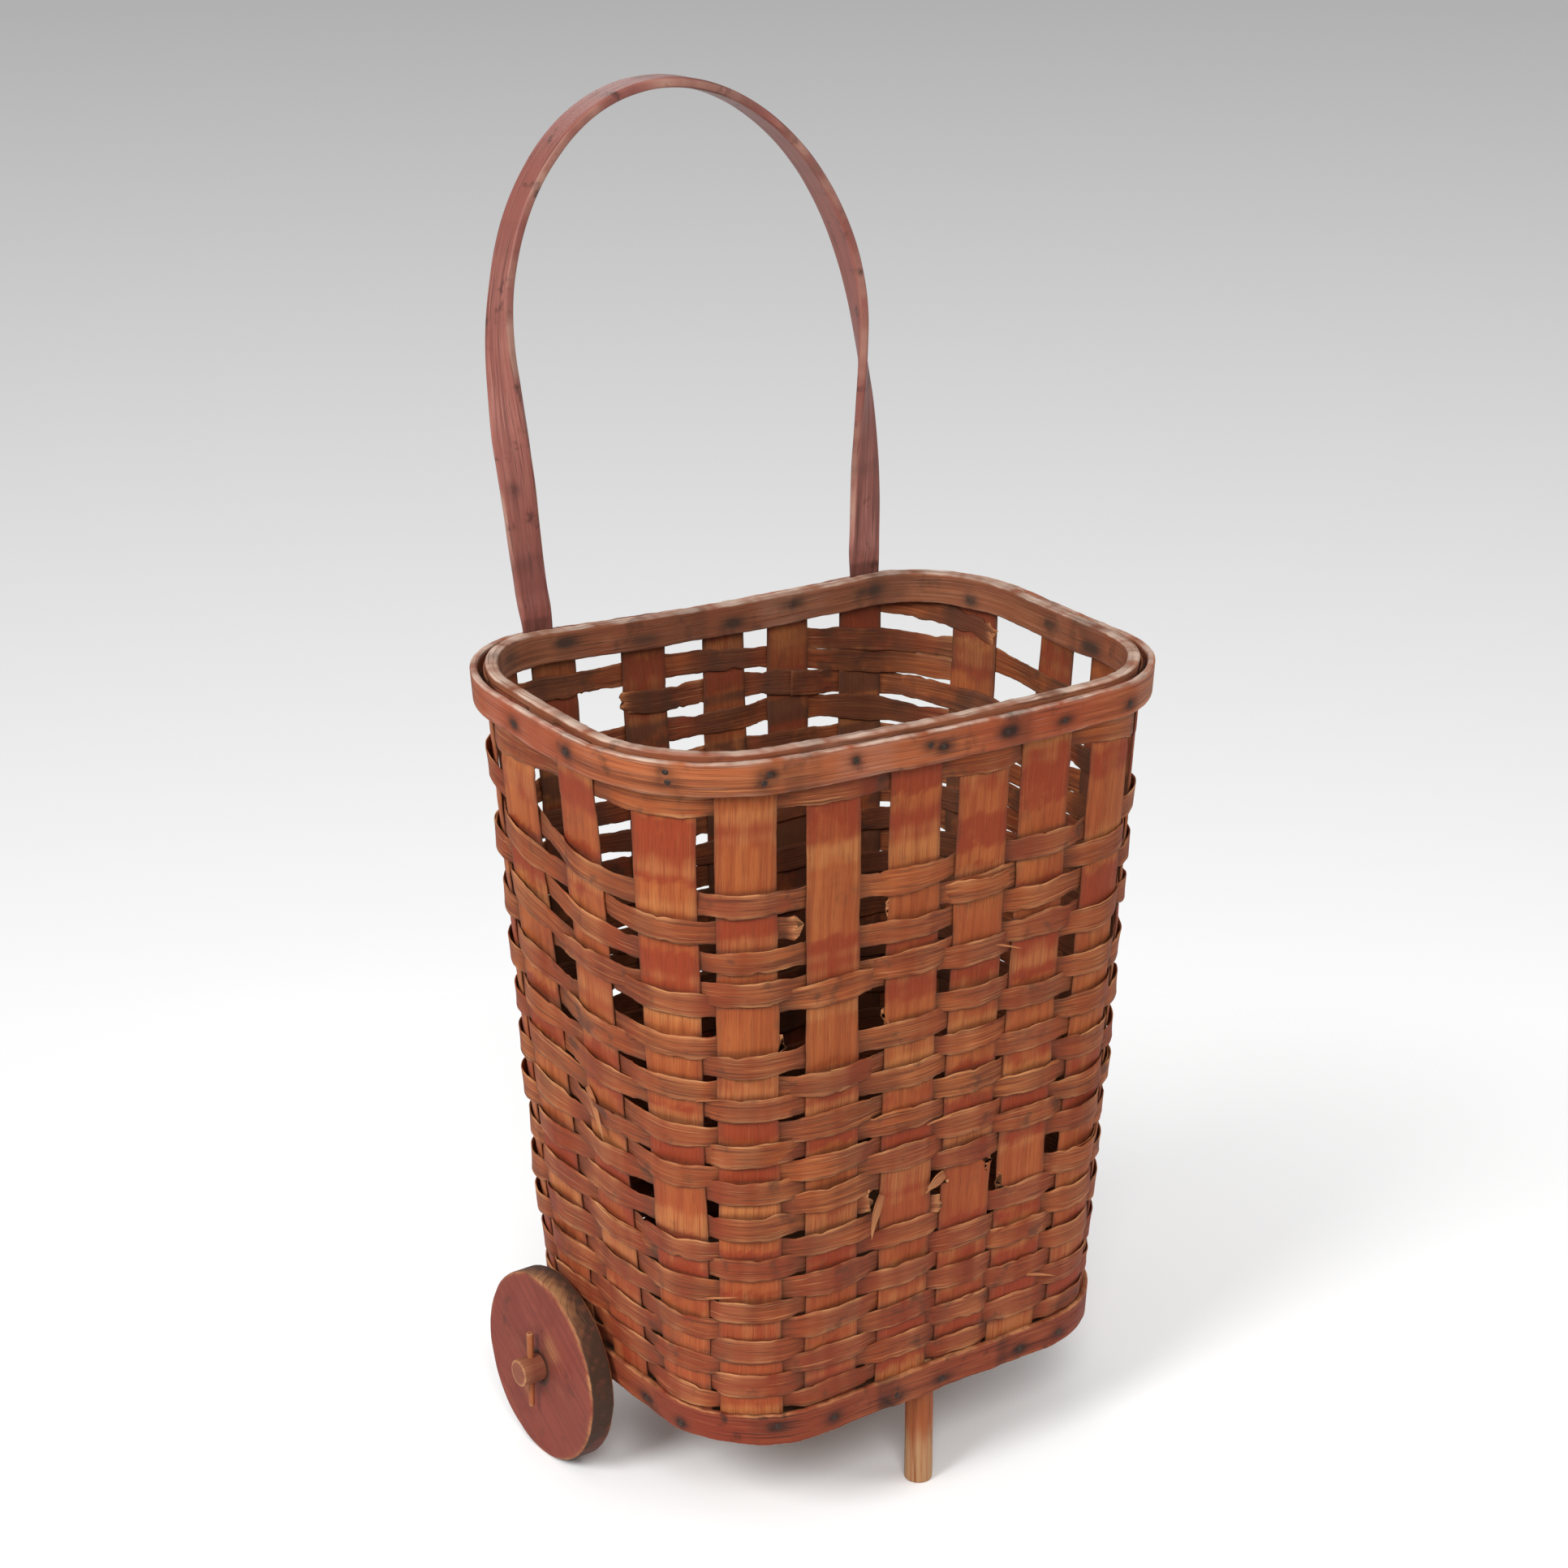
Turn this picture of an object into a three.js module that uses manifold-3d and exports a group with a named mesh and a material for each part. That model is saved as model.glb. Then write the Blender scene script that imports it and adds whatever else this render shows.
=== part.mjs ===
// Market basket cart: a tall splint basket with a bent hoop handle, on two wooden wheels and a peg leg.
// Millimetres, +Z up. X runs along the basket, Y from its front to its back.
// The origin lies on the ground, under the middle of the cart's box.
import * as THREE from 'three';
import { mergeVertices } from 'three/addons/utils/BufferGeometryUtils.js';
import Module from 'manifold-3d';

const wasm = await Module();
wasm.setup();

// Driving dimensions: clearances between pieces
const clearance = 0.3;
const weaveClearance = 0.4;

// Driving dimensions: wheels, axle, linchpins and leg
const wheelDiameter = 133;
const wheelThickness = 19;
const wheelChamfer = 2.5;
const wheelToFoot = 5.5;
const axleDiameter = 19;
const axleFlat = 6.2;
const axleShoulder = 2;
const axleBehind = 57.6;
const axleEnd = 16.5;
const axleBlockLength = 30;
const axleBlockWidth = 40;
const axleBlockDepth = 24;
const axleBlockInset = 22;
const linchpinDiameter = 5;
const linchpinTipDiameter = 4;
const linchpinLength = 56;
const linchpinPlace = 6.5;
const legDiameter = 19.1;
const legChamfer = 1.5;
const legAboveFloor = 8;
const legOffMiddle = -4;

// Driving dimensions: foot of the basket
const footLength = 340;
const footWidth = 272;
const footRadius = 74;
const footHoopHeight = 21.5;
const footHoopThickness = 4;
const floorThickness = 12;
const floorAboveFoot = 1;

// Driving dimensions: rim, warped with age so that its left end and its back stand highest
const rimLength = 444;
const rimWidth = 274;
const rimRadius = 91;
const rimHeight = 543.5;
const rimHoopHeight = 22;
const rimHoopThickness = 5;
const innerHoopHeight = 22;
const innerHoopThickness = 8.5;
const innerHoopProud = 2.5;
const innerHoopChamfer = 2.5;
const rimDropToRight = 5.3;
const rimRiseToBack = 8;
const rimSweepAtEnds = 7.6;
const rimSweepAtSides = 5.8;

// Driving dimensions: stakes and weavers. Each stake strays by its own shift from an even spacing. The shifts
// hold for a rim of the measured round, and spread and close up with the basket.
const stakeWidth = 41;
const backStakeWidth = 35;
const backStakeCount = 9;
const stakeThickness = 1.4;
const stakeBelowRim = 2;
const stakeLean = 14;
const firstStake = 36;
const stakeShifts = [-29, -10, 18, 20, 14, 19, 30, 18, -2, -12, -2, 8, 0, 3, 7, 1, -8, -10, -14, -25];
const measuredRound = 1223.21987;
const weaverCount = 24;
const weaverWidth = 13.4;
const weaverThickness = 1;
const rowGap = 0.5;
const rowSlack = 30;
const rowLift = 39;
const rimWeaverSag = 10;
const liftPlace = 0.36;
const liftSpread = 0.13;

// Driving dimensions: handle
const overallHeight = 914;
const handleWidth = 23;
const handleThickness = 6.5;
const handleFootThickness = 2;
const handleFootSlack = 1;
const handleFootSpan = 270;
const handleBellySpan = 288;
const handleSpring = 735;
const handleLeanLeft = 24;
const handleLeanBack = 18;
const handleTaper = 20;
const handleTwistStart = 40;
const handleTwistLength = 200;

// Sizes that follow from the driving dimensions
const wheelRadius = wheelDiameter / 2;
const axleRadius = axleDiameter / 2;
const legRadius = legDiameter / 2;
const footHeight = wheelRadius + axleFlat + clearance;
const footHoopTop = footHeight + footHoopHeight;
const floorUnderside = footHeight + floorAboveFoot;
const floorTop = floorUnderside + floorThickness;
const wallHeight = rimHeight - footHeight;
const wheelInside = footLength / 2 + wheelToFoot;
const wheelOutside = wheelInside + wheelThickness;
const axleHalfLength = wheelOutside + axleEnd;
const linchpinX = wheelOutside + linchpinPlace;
const stakeCount = stakeShifts.length;

// Layers of the wall, as offsets outwards from the middle of the stakes
const stakeFace = stakeThickness / 2;
const weaverNear = stakeFace + weaveClearance;
const weaverFar = weaverNear + weaverThickness;
const footHoopInside = stakeFace + clearance;
const footHoopOutside = footHoopInside + footHoopThickness;
const handleSlot = handleFootThickness + handleFootSlack;
const rimHoopInside = stakeFace + clearance + handleSlot;
const rimHoopOutside = rimHoopInside + rimHoopThickness;
const innerHoopOutside = -(stakeFace + clearance);
const innerHoopInside = innerHoopOutside - innerHoopThickness;
const handleFootOffset = stakeFace + clearance + handleSlot / 2;

const wood = (color, roughness) => new THREE.MeshStandardMaterial({ color, roughness, metalness: 0 });
const stakeWood = wood(0xa95f2f, 0.6);
const weaverWood = wood(0x9c4f2b, 0.6);
const rimWood = wood(0x9f5a30, 0.6);
const handleWood = wood(0x6e342a, 0.5);
const wheelWood = wood(0x7d3a2c, 0.6);
const axleWood = wood(0x9a5a35, 0.7);
const legWood = wood(0x9a6a45, 0.7);
const floorWood = wood(0x6b452c, 0.8);

const cart = new THREE.Group();
cart.name = 'market_basket_cart';

function addPiece(name, geometry, material) {
  const piece = new THREE.Mesh(geometry, material);
  piece.name = name;
  cart.add(piece);
}

// A skin over sections of equally many corners, which run anticlockwise when seen along the path.
// An open skin is capped by strips between its corners counted from both ends of the section.
function loft(sections, closed) {
  const corners = sections[0].length;
  const count = sections.length;
  const index = [];
  for (let i = 0; i < (closed ? count : count - 1); i++) {
    const here = i * corners;
    const next = ((i + 1) % count) * corners;
    for (let a = 0; a < corners; a++) {
      const b = (a + 1) % corners;
      index.push(here + a, next + a, next + b, here + a, next + b, here + b);
    }
  }
  if (!closed) {
    const end = (count - 1) * corners;
    for (let a = 0; a < corners / 2 - 1; a++) {
      const b = a + 1;
      const c = corners - 2 - a;
      const d = corners - 1 - a;
      index.push(a, b, c, a, c, d);
      index.push(end + a, end + c, end + b, end + a, end + d, end + c);
    }
  }
  const geometry = new THREE.BufferGeometry().setFromPoints(sections.flat());
  geometry.setIndex(index);
  geometry.computeVertexNormals();
  return geometry;
}

function toSolid(geometry) {
  const bare = geometry.clone();
  bare.deleteAttribute('normal');
  bare.deleteAttribute('uv');
  const merged = mergeVertices(bare, 1e-4);
  return new wasm.Manifold(new wasm.Mesh({
    numProp: 3,
    vertProperties: merged.attributes.position.array,
    triVerts: new Uint32Array(merged.index.array),
  }));
}

function toGeometry(solid) {
  const mesh = solid.getMesh();
  const geometry = new THREE.BufferGeometry();
  geometry.setAttribute('position', new THREE.BufferAttribute(mesh.vertProperties, 3));
  geometry.setIndex(new THREE.BufferAttribute(mesh.triVerts, 1));
  geometry.computeVertexNormals();
  return geometry;
}

// A rounded rectangle walked anticlockwise from the middle of its right end
function roundedPlan(length, width, radius) {
  const x = length / 2 - radius;
  const y = width / 2 - radius;
  const quarter = Math.PI / 2;
  const plan = new THREE.Path();
  plan.moveTo(length / 2, 0);
  plan.lineTo(length / 2, y);
  plan.absarc(x, y, radius, 0, quarter);
  plan.lineTo(-x, width / 2);
  plan.absarc(-x, y, radius, quarter, 2 * quarter);
  plan.lineTo(-length / 2, -y);
  plan.absarc(-x, -y, radius, 2 * quarter, 3 * quarter);
  plan.lineTo(x, -width / 2);
  plan.absarc(x, -y, radius, 3 * quarter, 4 * quarter);
  plan.lineTo(length / 2, 0);
  return plan;
}

const shrunkPlan = (length, width, radius, by) => roundedPlan(length - 2 * by, width - 2 * by, radius - by);
const footPlan = shrunkPlan(footLength, footWidth, footRadius, footHoopOutside);
const rimPlan = shrunkPlan(rimLength, rimWidth, rimRadius, rimHoopOutside);
const footRound = footPlan.getLength();
const rimRound = rimPlan.getLength();
const wrap = (turn) => THREE.MathUtils.euclideanModulo(turn, 1);

// How far the warped rim stands above its nominal height. turn is a share of the way round.
function rimWarp(turn) {
  const spot = rimPlan.getPoint(wrap(turn));
  const along = spot.x / (rimLength / 2);
  const across = spot.y / (rimWidth / 2);
  const tilt = rimRiseToBack * across - rimDropToRight * along;
  return tilt + rimSweepAtEnds * along ** 2 + rimSweepAtSides * across ** 2;
}

// The plan direction of the wall, which is ruled from foot to rim. rise is 0 at the foot and 1 at the rim.
function wallDirection(turn, rise) {
  const low = footPlan.getTangent(wrap(turn - stakeLean / footRound)).multiplyScalar((1 - rise) * footRound);
  const high = rimPlan.getTangent(wrap(turn)).multiplyScalar(rise * rimRound);
  return low.add(high).normalize();
}

// A point of the wall, moved outwards by offset from the middle of the stakes
function wallPoint(turn, rise, offset) {
  const low = footPlan.getPoint(wrap(turn - stakeLean / footRound));
  const spot = low.lerp(rimPlan.getPoint(wrap(turn)), rise);
  const along = wallDirection(turn, rise);
  const height = footHeight + rise * (wallHeight + rimWarp(turn));
  return new THREE.Vector3(spot.x + along.y * offset, spot.y - along.x * offset, height);
}

const riseOf = (height) => (height - footHeight) / wallHeight;
const riseBelowRim = (turn, drop) => 1 - drop / (wallHeight + rimWarp(turn));
const belowRim = (turn, drop, offset) => wallPoint(turn, riseBelowRim(turn, drop), offset);

// Where a stake stands: part is -0.5 at one edge, 0 in the middle and 0.5 at the other edge.
// The first stakes, which stand along the back, are the narrow ones.
function stakeTurn(k, part, rise) {
  const middle = k / stakeCount + (firstStake + stakeShifts[k]) / measuredRound;
  const width = k < backStakeCount ? backStakeWidth : stakeWidth;
  return middle + part * width / THREE.MathUtils.lerp(footRound, rimRound, rise);
}

// A stretch of wall that bows by more than this needs a station in its middle
const bowLimit = 0.35;
function bows(from, to) {
  const halfway = 0.5;
  const chord = wallPoint(from, halfway, 0).lerp(wallPoint(to, halfway, 0), 0.5);
  return chord.distanceTo(wallPoint((from + to) / 2, halfway, 0)) > bowLimit;
}

const stakeParts = stakeShifts.map((shift, k) =>
  (bows(stakeTurn(k, -0.5, 0.5), stakeTurn(k, 0.5, 0.5)) ? [-0.5, 0, 0.5] : [-0.5, 0.5]));

// Stations of a hoop: those of every stake, and the middle of each gap that bows
function hoopTurns(rise) {
  const turns = [];
  for (let k = 0; k < stakeCount; k++) {
    turns.push(...stakeParts[k].map((part) => stakeTurn(k, part, rise)));
    const from = stakeTurn(k, 0.5, rise);
    const to = stakeTurn((k + 1) % stakeCount, -0.5, rise) + (k + 1 === stakeCount ? 1 : 0);
    if (bows(from, to)) turns.push((from + to) / 2);
  }
  return turns;
}

// The same stations with one more in the middle of each stretch that bows
function refined(turns) {
  return turns.flatMap((from, i) => {
    const to = i + 1 < turns.length ? turns[i + 1] : turns[0] + 1;
    return bows(from, to) ? [from, (from + to) / 2] : [from];
  });
}

// The hoop round the outside of the stakes' feet
function footHoop() {
  const top = riseOf(footHoopTop);
  return loft(hoopTurns(0).map((turn) => [
    wallPoint(turn, 0, footHoopInside),
    wallPoint(turn, 0, footHoopOutside),
    wallPoint(turn, top, footHoopOutside),
    wallPoint(turn, top, footHoopInside),
  ]), true);
}

// The hoop outside the rim, set off from the stakes by the slot that holds the handle's feet
function rimHoopOuter() {
  return loft(refined(hoopTurns(1)).map((turn) => [
    belowRim(turn, rimHoopHeight, rimHoopInside),
    belowRim(turn, rimHoopHeight, rimHoopOutside),
    belowRim(turn, 0, rimHoopOutside),
    belowRim(turn, 0, rimHoopInside),
  ]), true);
}

// The thicker hoop inside the rim, with eased top edges
function rimHoopInner() {
  const eased = innerHoopChamfer - innerHoopProud;
  return loft(hoopTurns(1).map((turn) => [
    belowRim(turn, innerHoopHeight - innerHoopProud, innerHoopInside),
    belowRim(turn, innerHoopHeight - innerHoopProud, innerHoopOutside),
    belowRim(turn, eased, innerHoopOutside),
    belowRim(turn, -innerHoopProud, innerHoopOutside - innerHoopChamfer),
    belowRim(turn, -innerHoopProud, innerHoopInside + innerHoopChamfer),
    belowRim(turn, eased, innerHoopInside),
  ]), true);
}

// Levels along a stake: its foot, the top of the foot hoop, and even steps from there to its top.
// A stake that bows also twists on its way up and needs more steps.
function stakeRises(k) {
  const steps = stakeParts[k].length > 2 ? 9 : 3;
  const top = 1 - stakeBelowRim / wallHeight;
  const rises = [0];
  for (let i = 0; i <= steps; i++) {
    rises.push(THREE.MathUtils.lerp(riseOf(footHoopTop), top, i / steps));
  }
  return rises;
}

// One upright stake, of one width from foot to rim and cupped to the wall
function stake(k) {
  return loft(stakeRises(k).map((rise) => {
    const turns = stakeParts[k].map((part) => stakeTurn(k, part, rise));
    const inner = turns.map((turn) => wallPoint(turn, rise, -stakeFace));
    const outer = turns.map((turn) => wallPoint(turn, rise, stakeFace));
    return [...inner, ...outer.reverse()];
  }), false);
}

// One woven row: a flat splint that runs outside every other stake and inside the ones between.
// riseAt gives the rise of a point so far above the row's lower edge.
function weaver(riseAt, oddOutside) {
  const sections = [];
  for (let k = 0; k < stakeCount; k++) {
    const outside = (k % 2 === 1) === oddOutside;
    const near = outside ? weaverNear : -weaverFar;
    const far = outside ? weaverFar : -weaverNear;
    const middle = riseAt(stakeTurn(k, 0, 1), weaverWidth / 2);
    for (const part of stakeParts[k]) {
      const turn = stakeTurn(k, part, middle);
      const low = riseAt(turn, 0);
      const high = riseAt(turn, weaverWidth);
      sections.push([
        wallPoint(turn, low, near),
        wallPoint(turn, low, far),
        wallPoint(turn, high, far),
        wallPoint(turn, high, near),
      ]);
    }
  }
  return loft(sections, true);
}

// The upper rows have slipped up the wall about the corner at the back and left
const slipped = (turn) => Math.exp(-(((wrap(turn) - liftPlace) / liftSpread) ** 2));

// Rows lie close together from the foot hoop up and slacken towards the rim
function wallWeaver(row) {
  const share = row / (weaverCount - 1);
  const lower = footHoopTop + rowGap + row * (weaverWidth + rowGap) + rowSlack * share ** 3;
  const lift = rowLift * share ** 4;
  return weaver((turn, up) => riseOf(lower + up + lift * slipped(turn)), row % 2 === 0);
}

// The topmost row is tucked up under the rim and sags where the other rows stand high
function rimWeaver() {
  const lower = rimHoopHeight + rowGap + weaverWidth;
  const riseAt = (turn, up) => riseBelowRim(turn, lower + rimWeaverSag * slipped(turn) - up);
  return weaver(riseAt, weaverCount % 2 === 0);
}

// The floor board inside the stakes' feet, notched at its front edge for the leg
const legY = -(footWidth / 2 - footHoopOutside - stakeFace - clearance - legRadius);
const legSegments = 24;
function floorBoard() {
  const outline = hoopTurns(0).map((turn) => wallPoint(turn, 0, innerHoopOutside));
  const board = new THREE.ExtrudeGeometry(new THREE.Shape(outline), {
    depth: floorThickness,
    bevelEnabled: false,
  });
  board.translate(0, 0, floorUnderside);
  const notchRadius = legRadius + clearance;
  const notchReach = -footWidth / 2 - legY;
  const notch = new THREE.Shape();
  notch.moveTo(notchRadius, notchReach);
  notch.lineTo(notchRadius, 0);
  notch.absarc(0, 0, notchRadius, 0, Math.PI);
  notch.lineTo(-notchRadius, notchReach);
  const cutter = new THREE.ExtrudeGeometry(notch, {
    depth: 3 * floorThickness,
    bevelEnabled: false,
    curveSegments: legSegments / 2,
  });
  cutter.translate(legOffMiddle, legY, floorUnderside - floorThickness);
  return toGeometry(toSolid(board).subtract(toSolid(cutter)));
}

// A turned piece along Z, from pairs of radius and height that run upwards along its outside
function turned(profile, segments) {
  const outline = profile.map(([radius, height]) => new THREE.Vector2(radius, height));
  const geometry = new THREE.LatheGeometry(outline, segments);
  geometry.rotateX(Math.PI / 2);
  return geometry;
}

function leg() {
  const top = floorTop + legAboveFloor;
  const dowel = turned([
    [0, 0],
    [legRadius - legChamfer, 0],
    [legRadius, legChamfer],
    [legRadius, top],
    [0, top],
  ], legSegments);
  return dowel.translate(legOffMiddle, legY, 0);
}

// The axle: a dowel planed flat on top between the wheels, where it lies under the foot of the basket,
// with a cross hole for a linchpin at each end
function axle() {
  const dowel = new THREE.CylinderGeometry(axleRadius, axleRadius, 2 * axleHalfLength, 24);
  dowel.rotateZ(Math.PI / 2);
  const shaving = new THREE.BoxGeometry(2 * (wheelInside - axleShoulder), axleDiameter, axleDiameter);
  shaving.translate(0, 0, axleFlat + axleRadius);
  let solid = toSolid(dowel).subtract(toSolid(shaving));
  const holeRadius = linchpinDiameter / 2 + clearance;
  for (const side of [-1, 1]) {
    const hole = new THREE.CylinderGeometry(holeRadius, holeRadius, 2 * axleDiameter, 12);
    hole.rotateX(Math.PI / 2);
    hole.translate(side * linchpinX, 0, 0);
    solid = solid.subtract(toSolid(hole));
  }
  return toGeometry(solid).translate(0, axleBehind, wheelRadius);
}

// A linchpin: a peg tapered to its lower end
function linchpin(side) {
  const radius = linchpinDiameter / 2;
  const half = linchpinLength / 2;
  const profile = [[0, -half], [linchpinTipDiameter / 2, -half], [radius, 0], [radius, half], [0, half]];
  const peg = turned(profile, 12);
  return peg.translate(side * linchpinX, axleBehind, wheelRadius);
}

// A block under the floor board, grooved to hold the axle up against the foot of the basket
function axleBlock(side) {
  const top = floorUnderside - clearance - wheelRadius;
  const groove = axleRadius + clearance;
  const half = axleBlockWidth / 2;
  const outline = new THREE.Shape();
  outline.moveTo(-half, top);
  outline.lineTo(-half, top - axleBlockDepth);
  outline.lineTo(half, top - axleBlockDepth);
  outline.lineTo(half, top);
  outline.lineTo(groove, top);
  outline.lineTo(groove, 0);
  outline.absarc(0, 0, groove, 0, Math.PI, true);
  outline.lineTo(-groove, top);
  const block = new THREE.ExtrudeGeometry(outline, {
    depth: axleBlockLength,
    bevelEnabled: false,
    curveSegments: 12,
  });
  block.translate(0, 0, -axleBlockLength / 2);
  const turn = new THREE.Matrix4().makeBasis(
    new THREE.Vector3(0, 1, 0), new THREE.Vector3(0, 0, 1), new THREE.Vector3(1, 0, 0));
  block.applyMatrix4(turn);
  const x = footLength / 2 - axleBlockInset - axleBlockLength / 2;
  return block.translate(side * x, axleBehind, wheelRadius);
}

// A wheel: a disc sawn from board, with eased edges and a bore for the axle
function wheel(side) {
  const bore = axleRadius + clearance;
  const half = wheelThickness / 2;
  const outline = [
    [bore, -half],
    [wheelRadius - wheelChamfer, -half],
    [wheelRadius, wheelChamfer - half],
    [wheelRadius, half - wheelChamfer],
    [wheelRadius - wheelChamfer, half],
    [bore, half],
    [bore, -half],
  ].map(([radius, along]) => new THREE.Vector2(radius, along));
  const disc = new THREE.LatheGeometry(outline, 36);
  disc.rotateZ(-Math.PI / 2);
  return disc.translate(side * (wheelInside + half), axleBehind, wheelRadius);
}

// The middle line of one side of the handle, from the rim's top up to the spring of the arch
const handleFootTurn = (side) => 0.25 - side * handleFootSpan / 2 / rimRound;
function handleSide(side) {
  const steps = 12;
  const turn = handleFootTurn(side);
  const rim = belowRim(turn, 0, handleFootOffset);
  const spots = [rim];
  for (let i = 1; i < steps; i++) {
    const up = i / steps;
    const spread = Math.sin(up * Math.PI / 2);
    const x = THREE.MathUtils.lerp(rim.x, side * handleBellySpan / 2, spread);
    spots.push(leaned(x, rim.y, THREE.MathUtils.lerp(rim.z, handleSpring, up)));
  }
  return spots;
}

// The handle leans left and back towards its top
function leaned(x, y, z) {
  const up = (z - rimHeight) / (overallHeight - rimHeight);
  return new THREE.Vector3(x - handleLeanLeft * up ** 2, y + handleLeanBack * up, z);
}

// The arch is half an ellipse
function handleArch(y) {
  const steps = 26;
  const crown = overallHeight - handleThickness / 2 - handleSpring;
  const spots = [];
  for (let i = 0; i <= steps; i++) {
    const angle = Math.PI * (1 - i / steps);
    spots.push(leaned(handleBellySpan / 2 * Math.cos(angle), y, handleSpring + crown * Math.sin(angle)));
  }
  return spots;
}

// A section of the handle's foot, cupped to the wall in the slot between the rim hoops
const acrossParts = [-0.5, 0, 0.5];
function handleFootSection(side, drop) {
  const turns = acrossParts.map((part) => handleFootTurn(side) - side * part * handleWidth / rimRound);
  const inner = turns.map((turn) => belowRim(turn, drop, handleFootOffset - handleFootThickness / 2));
  const outer = turns.map((turn) => belowRim(turn, drop, handleFootOffset + handleFootThickness / 2));
  return [...inner, ...outer.reverse()];
}

// A section of the strip above the rim. Its flat faces front and back near the shaved foot, and turns
// a quarter on the way up so that the arch is flat to the hand.
function handleStripSection(spot, way, above) {
  const twistEnd = handleTwistStart + handleTwistLength;
  const angle = THREE.MathUtils.smoothstep(above, handleTwistStart, twistEnd) * Math.PI / 2;
  const across = new THREE.Vector3(-way.z * Math.cos(angle), Math.sin(angle), way.x * Math.cos(angle));
  across.addScaledVector(way, -across.dot(way)).normalize();
  const shaved = THREE.MathUtils.smoothstep(above, 0, handleTaper);
  const thickness = THREE.MathUtils.lerp(handleFootThickness, handleThickness, shaved);
  const through = across.clone().cross(way).multiplyScalar(thickness / 2);
  const middles = acrossParts.map((part) => spot.clone().addScaledVector(across, part * handleWidth));
  const near = middles.map((corner) => corner.clone().sub(through));
  const far = middles.map((corner) => corner.clone().add(through));
  return [...near, ...far.reverse()];
}

// The handle is one strip from the left foot over the arch to the right foot
function handle() {
  const left = handleSide(-1);
  const right = handleSide(1).reverse();
  const rimTops = { left: left[0].z, right: right[right.length - 1].z };
  const spots = [...left, ...handleArch(left[0].y), ...right];
  const sections = [];
  for (let i = 1; i < spots.length - 1; i++) {
    const way = spots[i + 1].clone().sub(spots[i - 1]).normalize();
    const rimTop = i < spots.length / 2 ? rimTops.left : rimTops.right;
    sections.push(handleStripSection(spots[i], way, spots[i].z - rimTop));
  }
  const feet = [-1, 1].map((side) => [rimHoopHeight, 0].map((drop) => handleFootSection(side, drop)));
  return loft([...feet[0], ...sections, ...feet[1].reverse()], false);
}

const twoDigits = (number) => String(number).padStart(2, '0');
addPiece('floor_board', floorBoard(), floorWood);
addPiece('foot_hoop', footHoop(), rimWood);
addPiece('rim_hoop_outer', rimHoopOuter(), rimWood);
addPiece('rim_hoop_inner', rimHoopInner(), rimWood);
for (let k = 0; k < stakeCount; k++) {
  addPiece(`stake_${twoDigits(k + 1)}`, stake(k), stakeWood);
}
for (let row = 0; row < weaverCount; row++) {
  addPiece(`weaver_${twoDigits(row + 1)}`, wallWeaver(row), weaverWood);
}
addPiece('rim_weaver', rimWeaver(), weaverWood);
addPiece('handle', handle(), handleWood);
addPiece('axle', axle(), axleWood);
addPiece('leg', leg(), legWood);
for (const [side, word] of [[-1, 'left'], [1, 'right']]) {
  addPiece(`axle_block_${word}`, axleBlock(side), floorWood);
  addPiece(`wheel_${word}`, wheel(side), wheelWood);
  addPiece(`linchpin_${word}`, linchpin(side), axleWood);
}

const box = new THREE.Box3().setFromObject(cart);
const middle = box.getCenter(new THREE.Vector3());
cart.position.set(-middle.x, -middle.y, -box.min.z);

export default cart;
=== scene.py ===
# Looks of the market basket cart: worn splints, bent hoops, a twisted handle and wooden wheels.
# Metres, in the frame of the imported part. X runs along the basket and Y from its front to its back.
from functools import partial

import bpy
import numpy as np
from mathutils import Matrix, Vector


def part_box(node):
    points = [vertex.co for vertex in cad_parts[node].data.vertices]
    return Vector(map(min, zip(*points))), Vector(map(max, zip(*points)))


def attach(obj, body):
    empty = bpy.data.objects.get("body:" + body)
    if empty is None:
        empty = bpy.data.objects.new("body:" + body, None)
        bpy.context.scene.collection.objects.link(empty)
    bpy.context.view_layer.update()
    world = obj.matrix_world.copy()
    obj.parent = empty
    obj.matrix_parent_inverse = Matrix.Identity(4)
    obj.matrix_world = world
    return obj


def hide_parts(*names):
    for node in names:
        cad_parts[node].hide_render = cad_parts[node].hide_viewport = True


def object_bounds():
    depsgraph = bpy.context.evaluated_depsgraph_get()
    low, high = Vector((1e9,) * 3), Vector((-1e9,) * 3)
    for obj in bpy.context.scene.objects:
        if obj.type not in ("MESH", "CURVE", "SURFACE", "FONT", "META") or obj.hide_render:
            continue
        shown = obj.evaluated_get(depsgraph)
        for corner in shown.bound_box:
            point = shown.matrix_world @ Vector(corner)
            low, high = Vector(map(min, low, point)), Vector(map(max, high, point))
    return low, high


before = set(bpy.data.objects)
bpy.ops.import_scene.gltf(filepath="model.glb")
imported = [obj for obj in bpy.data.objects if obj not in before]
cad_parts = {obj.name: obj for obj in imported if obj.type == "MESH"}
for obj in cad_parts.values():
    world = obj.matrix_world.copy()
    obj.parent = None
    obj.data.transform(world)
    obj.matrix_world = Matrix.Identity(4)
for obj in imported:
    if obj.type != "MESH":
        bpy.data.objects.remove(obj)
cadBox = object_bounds()
scene = bpy.context.scene
print("stage: frame loaded")

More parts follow.
